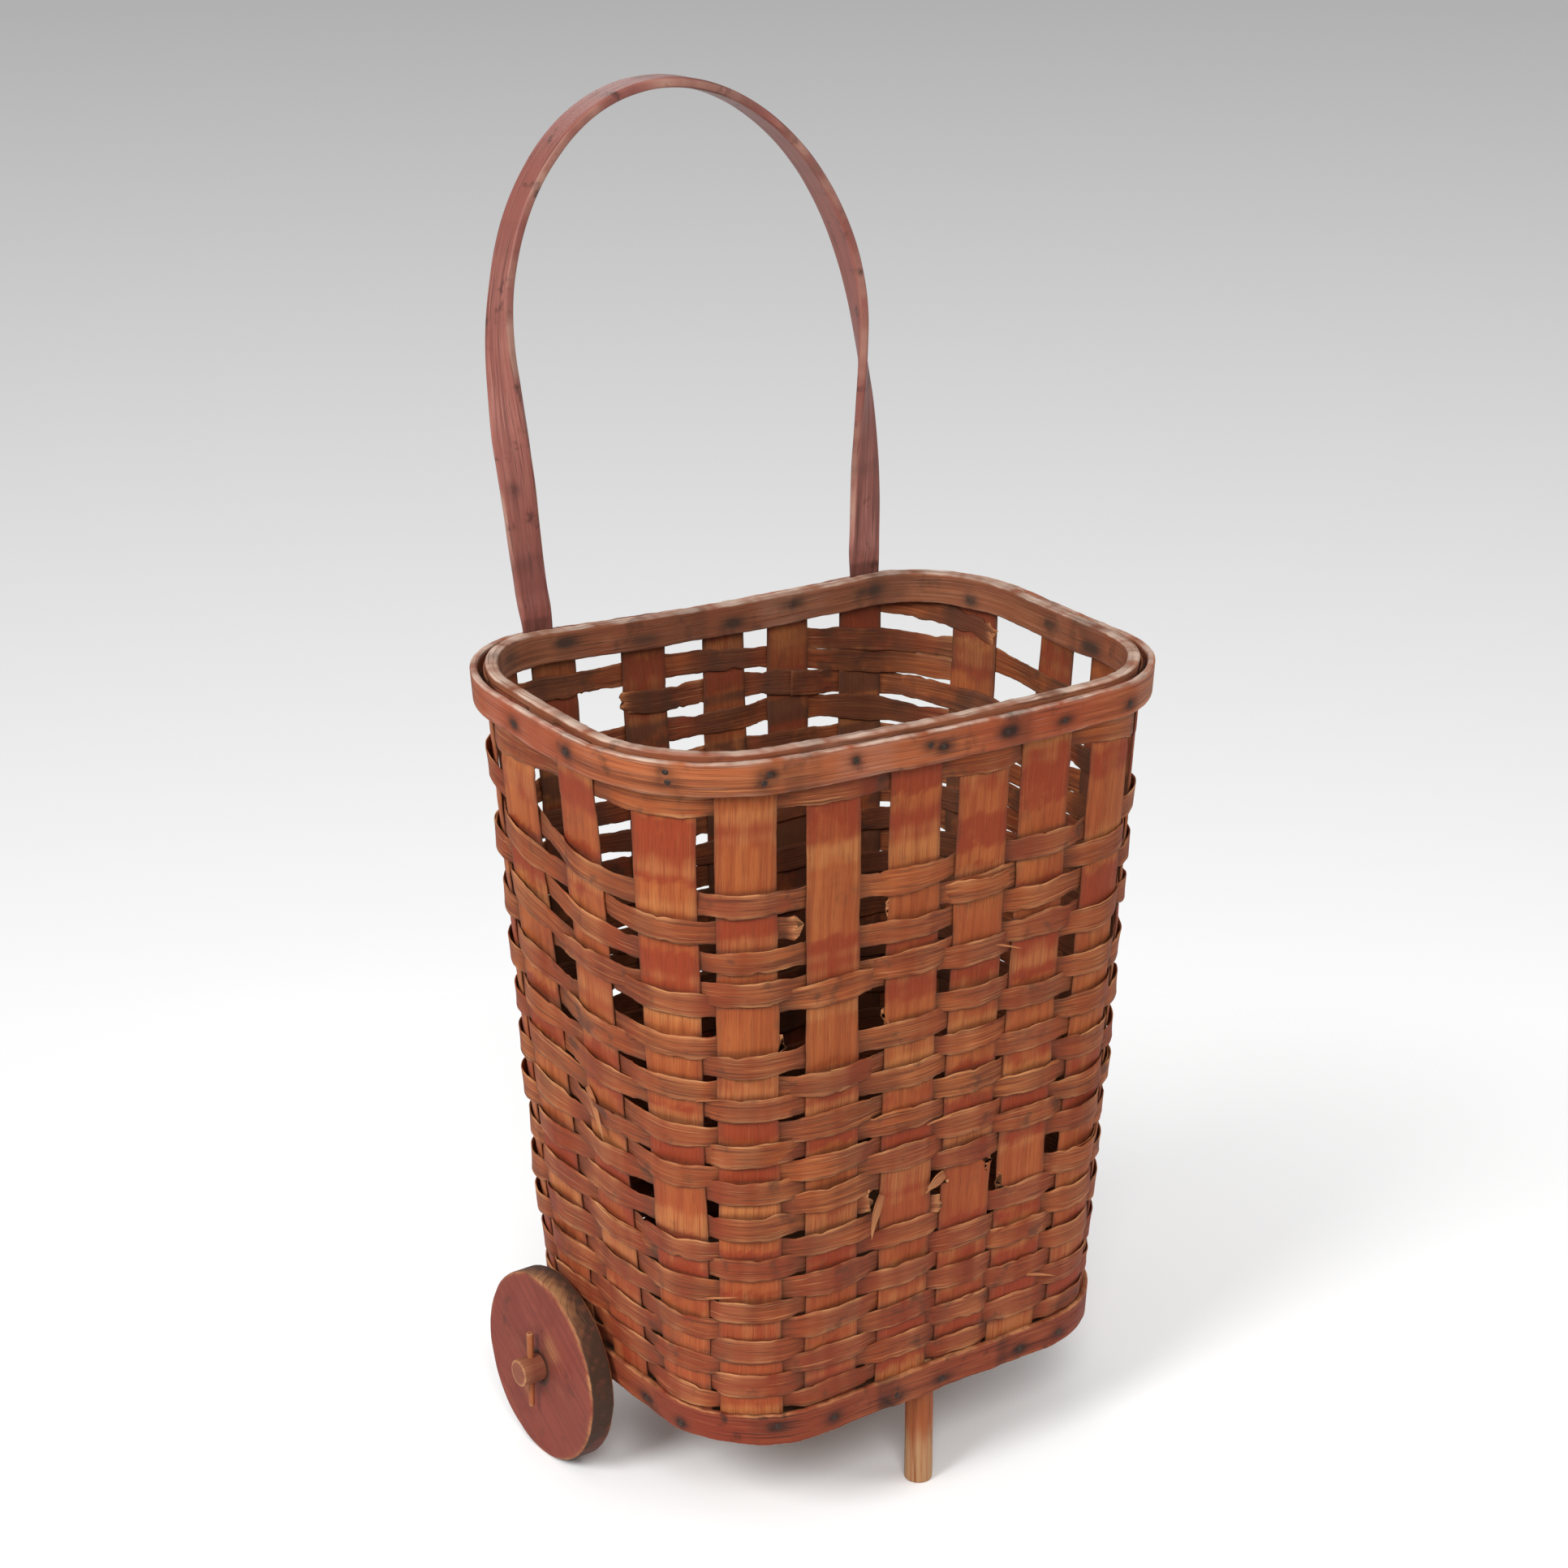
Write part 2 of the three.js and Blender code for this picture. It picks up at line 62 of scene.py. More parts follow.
# Camera at the photograph's place, with the photograph's own lens shift
cameraPlace = {
    "location": (-1.17694, -1.60615, 1.16693),
    "azimuth": np.radians(-36.074),
    "elevation": np.radians(19.02),
    "lens": 72.83,
    "shift": (-0.01075, -0.01734),
}
turnAngle, tiltAngle = cameraPlace["azimuth"], cameraPlace["elevation"]
camera = bpy.data.objects.new("camera", bpy.data.cameras.new("camera"))
camera.data.lens = cameraPlace["lens"]
camera.data.shift_x, camera.data.shift_y = cameraPlace["shift"]
rightWay = Vector((np.cos(turnAngle), np.sin(turnAngle), 0))
levelWay = Vector((np.sin(turnAngle), -np.cos(turnAngle), 0))
backWay = levelWay * np.cos(tiltAngle) + Vector((0, 0, np.sin(tiltAngle)))
upWay = backWay.cross(rightWay)
facing = Matrix((rightWay, upWay, backWay)).transposed().to_4x4()
camera.matrix_world = Matrix.Translation(cameraPlace["location"]) @ facing
scene.collection.objects.link(camera)
scene.camera = camera

# The wall is ruled from the foot's plan to the rim's plan, and all splints and hoops are laid on it. A place
# on it is a turn, the share of the round from the right end's middle, a rise from foot to rim and an offset.
wallSizes = {
    "footCorner": 0.069,
    "rimCorner": 0.082,
    "cornerSteps": 181,
    "rimHeight": 0.5435,
    "footHoop": 0.0215,      # height of the foot hoop, on which the first row stands
    "boardGap": 0.001,       # from the middle of the stakes to the floor board and to the inner hoop
    "lean": 0.014,           # the stakes' feet stand so far back along the wall
    "dropToRight": 0.0053,
    "riseToBack": 0.008,
    "sweepAtEnds": 0.0076,
    "sweepAtSides": 0.0058,
    "hoopHalf": (0.222, 0.137),
}
floorLow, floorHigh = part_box("floor_board")
innerLow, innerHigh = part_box("rim_hoop_inner")
axisY = (floorLow.y + floorHigh.y) / 2
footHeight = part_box("foot_hoop")[0].z
wallHeight = wallSizes["rimHeight"] - footHeight


def halfOf(low, high, gap):
    return (high.x - low.x) / 2 + gap, (high.y - low.y) / 2 + gap


# A rounded rectangle walked anticlockwise from the middle of its right end: x, y and outward angle by length
def roundedPlan(half, corner):
    arc = np.linspace(0, np.pi / 2, wallSizes["cornerSteps"])
    rows = [np.array([[half[0], 0, 0]])]
    for quarter, (sideX, sideY) in enumerate(((1, 1), (-1, 1), (-1, -1), (1, -1))):
        angle = arc + quarter * np.pi / 2
        x = sideX * (half[0] - corner) + corner * np.cos(angle)
        y = sideY * (half[1] - corner) + corner * np.sin(angle)
        rows.append(np.stack([x, y, angle], 1))
    rows.append(np.array([[half[0], 0, 2 * np.pi]]))
    line = np.concatenate(rows)
    steps = np.linalg.norm(np.diff(line[:, :2], axis=0), axis=1)
    return line, np.concatenate([[0], np.cumsum(steps)])


footPlan = roundedPlan(halfOf(floorLow, floorHigh, wallSizes["boardGap"]), wallSizes["footCorner"])
rimPlan = roundedPlan(halfOf(innerLow, innerHigh, wallSizes["boardGap"]), wallSizes["rimCorner"])
footRound, rimRound = footPlan[1][-1], rimPlan[1][-1]


# Point and way of travel at a turn of a plan
def planAt(plan, turn):
    line, length = plan
    place = (turn - np.floor(turn)) * length[-1]
    x, y, angle = (np.interp(place, length, line[:, column]) for column in range(3))
    return np.stack([x, y], -1), np.stack([-np.sin(angle), np.cos(angle)], -1)


# Height of the warped rim over its nominal height: a tilt and a sweep along both axes
def rimWarp(turn):
    spot, _ = planAt(rimPlan, turn)
    x = spot[..., 0] / wallSizes["hoopHalf"][0]
    y = spot[..., 1] / wallSizes["hoopHalf"][1]
    tilt = wallSizes["riseToBack"] * y - wallSizes["dropToRight"] * x
    return tilt + wallSizes["sweepAtEnds"] * x ** 2 + wallSizes["sweepAtSides"] * y ** 2


# A point of the wall: the foot's and the rim's points mixed by rise, moved outwards by offset
def wallPoint(turn, rise, offset):
    turn, rise, offset = np.broadcast_arrays(turn, rise, offset)
    low, lowWay = planAt(footPlan, turn - wallSizes["lean"] / footRound)
    high, highWay = planAt(rimPlan, turn)
    share = rise[..., None]
    way = (1 - share) * footRound * lowWay + share * rimRound * highWay
    way = way / np.linalg.norm(way, axis=-1, keepdims=True)
    spot = (1 - share) * low + share * high
    x = spot[..., 0] + way[..., 1] * offset
    y = spot[..., 1] - way[..., 0] * offset + axisY
    return np.stack([x, y, footHeight + rise * (wallHeight + rimWarp(turn))], -1)


def riseOf(height):
    return (height - footHeight) / wallHeight


def riseBelowRim(turn, drop):
    return 1 - drop / (wallHeight + rimWarp(turn))


def roundAt(rise):
    return footRound + (rimRound - footRound) * rise


# Smooth noise: a sum of sines, each faster and weaker than the last, with seeded speeds and phases.
# With whole speeds it closes on itself after one round.
def wander(x, seed, slowest, octaves=4, whole=False):
    draw = np.random.default_rng(seed)
    faster, weaker = 1.9, 0.6
    total = np.zeros(np.shape(x))
    for octave in range(octaves):
        speed = slowest * faster ** octave * draw.uniform(0.8, 1.2)
        speed = max(1, round(speed)) if whole else speed
        total = total + weaker ** octave * np.sin(2 * np.pi * (speed * np.asarray(x) + draw.uniform()))
    return total / (1 + weaker)


# From 0 at the start to 1 at the end, level at both
def smooth(x, start, end):
    share = np.clip((x - start) / (end - start), 0, 1)
    return share * share * (3 - 2 * share)


def unit(ways):
    return ways / np.linalg.norm(ways, axis=1, keepdims=True)


grainShear = 20   # slides each fibre along its neighbour, so that marks of the grain don't line up


# Skins over grids of points, stations by corners, joined into one piece. The corners run anticlockwise about
# the way of travel, and the grain map runs along the stations and around the corners.
def skin(name, patches, closed, material):
    loops, sizes, texture, base = [], [], [], 0
    for points, along, around, _ in patches:
        stations, corners = points.shape[:2]
        spans = stations if closed else stations - 1
        here = base + np.arange(spans)[:, None] * corners
        after = base + (np.arange(1, spans + 1)[:, None] % stations) * corners
        first = np.arange(corners)[None, :]
        second = (first + 1) % corners
        quads = np.stack([here + first, here + second, after + second, after + first], -1)
        loops.append(quads.reshape(-1))
        sizes.append(np.full(spans * corners, 4))
        step = np.arange(spans)[:, None, None] + np.array([0, 0, 1, 1])
        side = np.stack([first, first + 1, first + 1, first], -1)
        slid = along[step] + grainShear * around[side]
        texture.append(np.stack(np.broadcast_arrays(slid, around[side]), -1).reshape(-1, 2))
        for station, order in () if closed else ((0, -1), (stations - 1, 1)):
            loops.append((base + station * corners + np.arange(corners))[::order])
            sizes.append(np.array([corners]))
            slid = along[station] + grainShear * around[:corners]
            texture.append(np.stack([slid, around[:corners]], -1)[::order])
        base += stations * corners
    loops, sizes, texture = np.concatenate(loops), np.concatenate(sizes), np.concatenate(texture)
    starts = np.concatenate([[0], np.cumsum(sizes)[:-1]])
    mesh = bpy.data.meshes.new(name)
    mesh.vertices.add(base)
    spots = np.concatenate([patch[0].reshape(-1, 3) for patch in patches])
    mesh.vertices.foreach_set("co", spots.astype(np.float32).reshape(-1))
    mesh.loops.add(len(loops))
    mesh.loops.foreach_set("vertex_index", loops.astype(np.int32))
    mesh.polygons.add(len(sizes))
    mesh.polygons.foreach_set("loop_start", starts.astype(np.int32))
    mesh.polygons.foreach_set("loop_total", sizes.astype(np.int32))
    mesh.update(calc_edges=True)
    mesh.uv_layers.new(name="grain").data.foreach_set("uv", texture.astype(np.float32).reshape(-1))
    for mark in patches[0][3]:
        values = [np.broadcast_to(patch[3][mark], patch[0].shape[:2]).reshape(-1) for patch in patches]
        values = np.clip(np.concatenate(values), 0, 1).astype(np.float32)
        mesh.attributes.new(mark, "FLOAT", "POINT").data.foreach_set("value", values)
    mesh.validate()
    return finished(name, mesh, material)


def finished(name, mesh, material):
    mesh.polygons.foreach_set("use_smooth", np.ones(len(mesh.polygons), bool))
    mesh.materials.append(material)
    piece = bpy.data.objects.new(name, mesh)
    scene.collection.objects.link(piece)
    return piece


def settle(piece, body, slot, *nodes):
    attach(piece, body)
    if nodes:
        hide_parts(*nodes)


def looped(values):
    return np.concatenate([values, values[:1]])


# Section of a flat strip with eased edges: across and through, anticlockwise
def stripSection(width, thickness, columns, ease):
    inner = np.linspace(-width / 2 + ease, width / 2 - ease, columns)
    side, flat = thickness / 4, np.full(columns, thickness / 2)
    across = np.concatenate([[-width / 2], inner, [width / 2, width / 2], inner[::-1], [-width / 2]])
    through = np.concatenate([[-side], -flat, [-side, side], flat, [side]])
    return across, through


# Section with rounded corners of the given radius: across and through, anticlockwise
def roundedSection(height, thickness, radius, columns):
    arc = np.linspace(0, np.pi / 2, 5)
    flat = np.linspace(1, -1, columns + 2)[1:-1] * (height / 2 - radius)
    across, through = [], []
    for quarter, (up, out) in enumerate(((1, 1), (-1, 1), (-1, -1), (1, -1))):
        angle = arc + quarter * np.pi / 2
        across.append(up * (height / 2 - radius) + radius * np.cos(angle))
        through.append(out * (thickness / 2 - radius) + radius * np.sin(angle))
        if quarter % 2 == 0:
            across.append(up * flat)
            through.append(np.full(columns, out * thickness / 2))
    return np.concatenate(across), np.concatenate(through)


# Material nodes
def link(tree, source, target):
    tree.links.new(source, target)


def node(tree, kind, **settings):
    made = tree.nodes.new(kind)
    for key, value in settings.items():
        setattr(made, key, value)
    return made


def noise(tree, vector, scale, detail=4.0, roughness=0.6):
    made = node(tree, "ShaderNodeTexNoise", noise_dimensions="3D")
    made.inputs["Scale"].default_value = scale
    made.inputs["Detail"].default_value = detail
    made.inputs["Roughness"].default_value = roughness
    link(tree, vector, made.inputs["Vector"])
    return made.outputs["Fac"]


def stretch(tree, vector, scale):
    made = node(tree, "ShaderNodeVectorMath", operation="MULTIPLY")
    made.inputs[1].default_value = scale
    link(tree, vector, made.inputs[0])
    return made.outputs["Vector"]


def ramp(tree, value, low, high, kind="SMOOTHSTEP"):
    made = node(tree, "ShaderNodeMapRange", interpolation_type=kind)
    made.inputs["From Min"].default_value = low
    made.inputs["From Max"].default_value = high
    link(tree, value, made.inputs["Value"])
    return made.outputs["Result"]


def mathOf(tree, first, second, operation="MULTIPLY"):
    made = node(tree, "ShaderNodeMath", operation=operation)
    made.use_clamp = True
    for socket, value in zip(made.inputs, (first, second)):
        if isinstance(value, float):
            socket.default_value = value
        else:
            link(tree, value, socket)
    return made.outputs["Value"]


def blendColours(tree, factor, first, second):
    made = node(tree, "ShaderNodeMix", data_type="RGBA")
    link(tree, factor, made.inputs["Factor"])
    for socket, value in ((made.inputs[6], first), (made.inputs[7], second)):
        if isinstance(value, tuple):
            socket.default_value = (*value, 1)
        else:
            link(tree, value, socket)
    return made.outputs[2]


def mixShaders(tree, factor, first, second, target):
    made = node(tree, "ShaderNodeMixShader")
    for socket, source in zip(made.inputs, (factor, first, second)):
        link(tree, source, socket)
    link(tree, made.outputs[0], target)


def markOf(tree, name):
    return node(tree, "ShaderNodeAttribute", attribute_name=name).outputs["Fac"]


# Wood in general: scales of its noises and strengths of its layers, which each look changes as it needs
plainWood = {
    "mapping": "grain",
    "blotch": 26.0,
    "patch": 9.0,
    "patches": 0.5,
    "smudge": 44.0,
    "smudges": 0.5,
    "fines": 0.7,
    "fibres": 0.3,
    "pores": 0.6,
    "specular": 0.16,
    "bump": 0.6,
    "bumpHeight": 0.0007,
}


# Wood: broad grain, and over it fine grain, patches, stain, wear, fibres, smudges, pores, and dirt with
# painted shade, each blended in its colour as far as its noise and its mark say
def woodMaterial(name, look):
    material = bpy.data.materials.new(name)
    material.use_nodes = True
    tree = material.node_tree
    shader = tree.nodes["Principled BSDF"]
    place = node(tree, "ShaderNodeTexCoord").outputs["Object"]
    vector = place
    if look["mapping"] == "grain":
        vector = node(tree, "ShaderNodeUVMap", uv_map="grain").outputs["UV"]
    broad = noise(tree, stretch(tree, vector, look["broad"]), 1.0, 3.0)
    fine = noise(tree, stretch(tree, vector, look["fine"]), 1.0, 4.0, 0.65)
    streak = noise(tree, stretch(tree, vector, look["streak"]), 1.0, 2.0, 0.5)
    fibre = noise(tree, stretch(tree, vector, look["fibre"]), 1.0, 2.0, 0.5)
    blotch = noise(tree, place, look["blotch"], 4.0, 0.6)
    patch = noise(tree, place, look["patch"], 3.0, 0.55)
    smudge = noise(tree, place, look["smudge"], 3.0, 0.6)
    stained = mathOf(tree, ramp(tree, blotch, 0.25, 0.55), 0.35, "ADD")
    blotchedDirtAndShade = mathOf(tree, ramp(tree, blotch, 0.32, 0.6), 0.45, "ADD")
    pores = ramp(tree, streak, 0.58, 0.70)
    layers = (
        (mathOf(tree, ramp(tree, fine, 0.46, 0.70), look["fines"]), "light"),
        (mathOf(tree, ramp(tree, patch, 0.46, 0.66), look["patches"]), "stain"),
        (mathOf(tree, markOf(tree, "stain"), stained), "stain"),
        (mathOf(tree, markOf(tree, "wear"), ramp(tree, fine, 0.28, 0.56)), "worn"),
        (mathOf(tree, ramp(tree, fibre, 0.60, 0.72), look["fibres"]), "worn"),
        (mathOf(tree, ramp(tree, smudge, 0.58, 0.74), look["smudges"]), "dirtAndShade"),
        (mathOf(tree, pores, look["pores"]), "dirtAndShade"),
        # Dirt, and painted shade where the piece's mark asks for it, in the same dark colour
        (mathOf(tree, markOf(tree, "dirtAndShade"), blotchedDirtAndShade), "dirtAndShade"),
    )
    colour = blendColours(tree, ramp(tree, broad, 0.36, 0.62), look["dark"], look["main"])
    for amount, paint in layers:
        colour = blendColours(tree, amount, colour, look[paint])
    link(tree, colour, shader.inputs["Base Color"])
    rough = node(tree, "ShaderNodeMapRange")
    rough.inputs["To Min"].default_value, rough.inputs["To Max"].default_value = look["roughness"]
    link(tree, fine, rough.inputs["Value"])
    link(tree, rough.outputs["Result"], shader.inputs["Roughness"])
    shader.inputs["Specular IOR Level"].default_value = look["specular"]
    bump = node(tree, "ShaderNodeBump")
    bump.inputs["Strength"].default_value = look["bump"]
    bump.inputs["Distance"].default_value = look["bumpHeight"]
    link(tree, mathOf(tree, fine, mathOf(tree, pores, 0.6), "SUBTRACT"), bump.inputs["Height"])
    link(tree, bump.outputs["Normal"], shader.inputs["Normal"])
    return material


# Floor board and axle blocks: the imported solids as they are, in plain dull wood
boardLook = {
    **plainWood,
    "mapping": "object",
    "broad": (6, 60, 60),
    "fine": (18, 420, 420),
    "streak": (30, 700, 700),
    "fibre": (30, 800, 800),
    "dark": (0.10, 0.045, 0.022),
    "main": (0.17, 0.075, 0.036),
    "light": (0.24, 0.12, 0.06),
    "stain": (0.13, 0.05, 0.026),
    "worn": (0.3, 0.17, 0.09),
    "dirtAndShade": (0.05, 0.024, 0.014),
    "roughness": (0.6, 0.85),
}
boardWood = woodMaterial("boardWood", boardLook)
for name in ("floor_board", "axle_block_left", "axle_block_right"):
    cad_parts[name].data.materials.clear()
    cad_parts[name].data.materials.append(boardWood)
print("stage: wood and board")

# Stakes: wide upright splints, each strayed by its own shift from an even spacing
stakes = {
    "width": 0.041,
    "backWidth": 0.035,
    "backCount": 9,
    "thickness": 0.0014,
    "ease": 0.0007,
    "stations": 200,
    "columns": 13,
    "first": 0.036,
    "shifts": np.array([-29, -10, 18, 20, 14, 19, 30, 18, -2, -12,
                        -2, 8, 0, 3, 7, 1, -8, -10, -14, -25]) / 1000,
    "belowRim": 0.002,
    "edgeWander": 0.0005,
    "sway": 0.0004,          # pushed in and out by the rows
    "swayEnd": 0.9,          # up to this rise
    "bandDrop": 0.052,       # the first reddish band across each stake, so far below the rim
    "bandStray": 0.012,
    "bandHeight": 0.020,
    "edgeShade": 0.0016,     # reach of the painted shade along the edges
    "rowShade": 0.0014,      # reach of the painted shade beside a row that covers the stake
}
splintGrain = {
    **plainWood,
    "broad": (5, 120, 1),
    "fine": (13, 430, 1),
    "streak": (24, 620, 1),
    "fibre": (21, 760, 1),
}
stakeLook = {
    **splintGrain,
    "broad": (9, 52, 1),
    "fine": (30, 560, 1),
    "streak": (80, 900, 1),
    "dark": (0.290, 0.064, 0.018),
    "main": (0.37, 0.097, 0.027),
    "light": (0.47, 0.163, 0.048),
    "stain": (0.250, 0.037, 0.013),
    "worn": (0.56, 0.245, 0.080),
    "dirtAndShade": (0.088, 0.034, 0.018),
    "roughness": (0.5, 0.75),
    "pores": 0.35,
    "fines": 0.35,
    "fibres": 0.15,
    "smudges": 0.3,
}
stakeWood = woodMaterial("stakeWood", stakeLook)
stakeCount = len(stakes["shifts"])
stakeNumbers = np.arange(stakeCount)
stakeMiddle = stakeNumbers / stakeCount + (stakes["first"] + stakes["shifts"]) / rimRound
stakeWidth = np.where(stakeNumbers < stakes["backCount"], stakes["backWidth"], stakes["width"])

# Weavers: rows that lie close together from the foot hoop up and slacken towards the rim. Along the front
# each row has strayed from its place, and at the back and left the upper ones have slipped up.
weavers = {
    "rows": 24,
    "pitch": 0.0139,
    "width": 0.0158,
    "thickness": 0.001,
    "ease": 0.0006,
    "columns": 9,
    "spacing": 0.0021,
    "slack": 0.030,
    "lift": 0.039,
    "liftPlace": 0.36,
    "liftSpread": 0.13,
    "backLift": 0.021,       # the upper rows stand so much higher yet at the back
    "backPlace": 0.195,
    "backSpread": 0.09,
    "backRows": (18, 22),
    "frontStart": (0.45, 0.54),
    "frontEnd": (0.86, 0.97),
    "stray": np.array([1, 0, -2, -3, -3, -2, -3, -1, -3, 0, -2, -4,
                       -8, -8, -10, -7, -11, -8, -13, 7, -16, -4, -4, -4]) / 1000,
    "reach": 0.0013,         # from the middle of the stakes to the middle of the splint
    "bulge": 0.0024,
    "lowBulge": 0.0005,      # of the lowest rows, which pass close by the wheels
    "bulgePlaces": np.array([-1.02, -0.5, 0, 0.5, 1.02]),   # across a stake, in half widths
    "bulgeShape": np.array([0, 0.72, 1, 0.72, 0]),
    "firstWidth": 0.88,
    "edgeWander": 0.0005,
    "cup": 0.0005,
    "roll": 0.0007,
    "edgeWear": 0.0011,      # reach of the wear along the edges
    "edgeShade": 0.0009,     # reach of the painted shade under the lower edge
    "worn": (0.0002, 0.0020),     # offsets from the first wear to the full wear
    "behindStakeShade": (0.0010, -0.0016),  # offsets from the first to the full painted shade behind a stake
    "nicks": {"count": 14, "depth": (0.0003, 0.0016), "length": (0.0012, 0.005)},
    "lapEase": 0.004,
    "lapSwell": 0.42,
    "tears": (               # row, and the two torn ends as stake numbers
        (22, 12.66, 13.60), (18, 12.50, 13.56), (10, 10.10, 11.90), (9, 13.62, 14.40), (9, 15.50, 16.62),
        (8, 14.64, 15.46), (23, 5.36, 6.15), (13, 4.6, 5.5), (16, 18.6, 19.4),
    ),
    "tornReach": 0.015,
    "shortest": 0.02,        # a shorter torn stretch, as a share of the round, has fallen out
    "curl": 0.0010,
}
# Splinters: row, place of the root and of the tip as stake number and height above the row, width, stand-off
splinters = (
    (13, (9.72, 0.012), (10.06, -0.010), 0.0080, 0.006),
    (9, (13.66, 0.002), (13.44, -0.022), 0.0070, 0.006),
    (9, (14.62, 0.002), (14.28, -0.004), 0.0085, 0.003),
    (15, (11.32, 0.005), (11.66, 0.009), 0.0014, 0.003),
    (2, (16.20, 0.006), (16.62, 0.001), 0.0022, 0.005),
    (12, (14.30, 0.006), (14.62, 0.010), 0.0014, 0.004),
    (19, (15.30, -0.006), (15.58, -0.010), 0.0016, 0.004),
    (6, (11.40, -0.006), (11.75, -0.002), 0.0014, 0.003),
)
splinterShape = {"stations": 22, "columns": 5, "thickness": 0.0006, "ease": 0.1, "root": 0.0022, "jag": 0.005}
weaverLook = {
    **splintGrain,
    "fine": (17, 560, 1),
    "dark": (0.155, 0.032, 0.010),
    "main": (0.305, 0.070, 0.019),
    "light": (0.455, 0.144, 0.042),
    "stain": (0.195, 0.033, 0.012),
    "worn": (0.56, 0.255, 0.105),
    "dirtAndShade": (0.070, 0.029, 0.016),
    "roughness": (0.5, 0.78),
    "fibres": 0.5,
    "smudges": 0.7,
    "bump": 0.9,
}
weaverWood = woodMaterial("weaverWood", weaverLook)
rowNumbers = np.arange(weavers["rows"])
rowShare = rowNumbers / (weavers["rows"] - 1)
rowHeights = footHeight + wallSizes["footHoop"] + weavers["pitch"] * (rowNumbers + 0.5)
rowHeights = rowHeights + weavers["slack"] * rowShare ** 3


def slipped(turn):
    return np.exp(-((turn % 1 - weavers["liftPlace"]) / weavers["liftSpread"]) ** 2)


def alongFront(turn):
    return smooth(turn % 1, *weavers["frontStart"]) * (1 - smooth(turn % 1, *weavers["frontEnd"]))


def heightOfRow(row, turn):
    lift = weavers["lift"] * rowShare[row] ** 7 * slipped(turn)
    aside = (turn % 1 - weavers["backPlace"]) / weavers["backSpread"]
    lift = lift + weavers["backLift"] * smooth(row, *weavers["backRows"]) * np.exp(-aside ** 2)
    drift = 0.0007 * wander(turn, 50 + row // 2, 3)
    drift = drift + 0.0013 * rowShare[row] ** 2 * wander(turn, 60 + row, 2.3)
    return rowHeights[row] + lift + weavers["stray"][row] * alongFront(turn) + drift


# A stake's points: up the wall by stations, round its section by corners, with wandering edges. Its marks are
# bands of stain, a darkening towards the bottom, and painted shade along its edges, at its top between the
# rim hoops, on its inside face and beside the rows that cover it.
def buildStake(k):
    rise = np.linspace(0, 1 - stakes["belowRim"] / wallHeight, stakes["stations"])[:, None]
    across, through = stripSection(stakeWidth[k], stakes["thickness"], stakes["columns"], stakes["ease"])
    level = across / across.max()
    edge = np.where(across > 0, wander(rise, 100 + k, 3), wander(rise, 200 + k, 3)) * stakes["edgeWander"]
    wide = across * (1 + 0.012 * wander(rise, 300 + k, 0.8)) + edge * level ** 3
    turn = stakeMiddle[k] - wide / roundAt(rise)
    rows = np.array([heightOfRow(row, stakeMiddle[k]) for row in rowNumbers])
    order = np.argsort(rows)
    outsideRow = (rowNumbers + k) % 2 == 1
    height = footHeight + rise * wallHeight
    pushed = np.interp(height, rows[order], np.where(outsideRow, -1, 1)[order])
    sway = pushed * stakes["sway"] * (rise < stakes["swayEnd"])
    points = wallPoint(turn, rise, through + sway * smooth(rise, 0.04, 0.08))
    ragged = 0.0022 * wander(across * 14, 500 + k, 2.2) + 0.0012 * wander(across * 60, 520 + k, 3)
    drop = (1 - rise) * wallHeight + ragged
    bandMiddle = stakes["bandDrop"] + stakes["bandStray"] * np.sin(k * 2.4)
    firstBand = np.exp(-((drop - bandMiddle) / (stakes["bandHeight"] / 2)) ** 6)
    bands = smooth(wander(drop * 9, 600 + k, 1, 3), 0.08, 0.22) * 0.9
    torn = [row for row, low, high in weavers["tears"] if low < k < high]
    covering = rows[outsideRow & ~np.isin(rowNumbers, torn)]
    contact = np.abs(height - covering).min(1, keepdims=True) - weavers["width"] / 2
    margin = np.abs(np.abs(across) - stakeWidth[k] / 2)
    inside = through < 0
    # Painted shade: darker along the edges, at the top between the rim hoops and on the inside face
    dirtAndShade = 0.55 * np.exp(-margin / stakes["edgeShade"]) + 0.5 * smooth(rise, 0.945, 0.99) + 0.42 * inside
    # Painted shade beside the rows that lie over the stake
    dirtAndShade = dirtAndShade + 0.45 * np.exp(-(np.maximum(contact, 0) / stakes["rowShade"]) ** 2) * (rise < 0.87)
    # The stain mark also grows towards the bottom, which makes the lower part darker
    stain = np.maximum(0.9 * firstBand, bands) + 0.6 * smooth(rise, 0.5, 0.05)
    wear = 0.4 * smooth(wander(rise * 6, 700 + k, 1) + 0.3 * wander(across * 40, 720 + k, 1), 0.1, 1.1)
    along = rise[:, 0] * wallHeight + 0.7 * k
    marks = {"stain": stain, "wear": wear, "dirtAndShade": dirtAndShade}
    piece = skin(f"stakeSplint{k + 1:02d}", [(points, along, looped(across), marks)], False, stakeWood)
    settle(piece, "basket", "stake_wood", f"stake_{k + 1:02d}")


for k in stakeNumbers:
    buildStake(k)
print("stage: stakes")


# Turn of a place given in stake numbers, such as 12.5 for halfway from stake 12 to stake 13
def turnAt(place):
    number = np.arange(-stakeCount, 2 * stakeCount)
    return np.interp(place, number, stakeMiddle[number % stakeCount] + number // stakeCount)


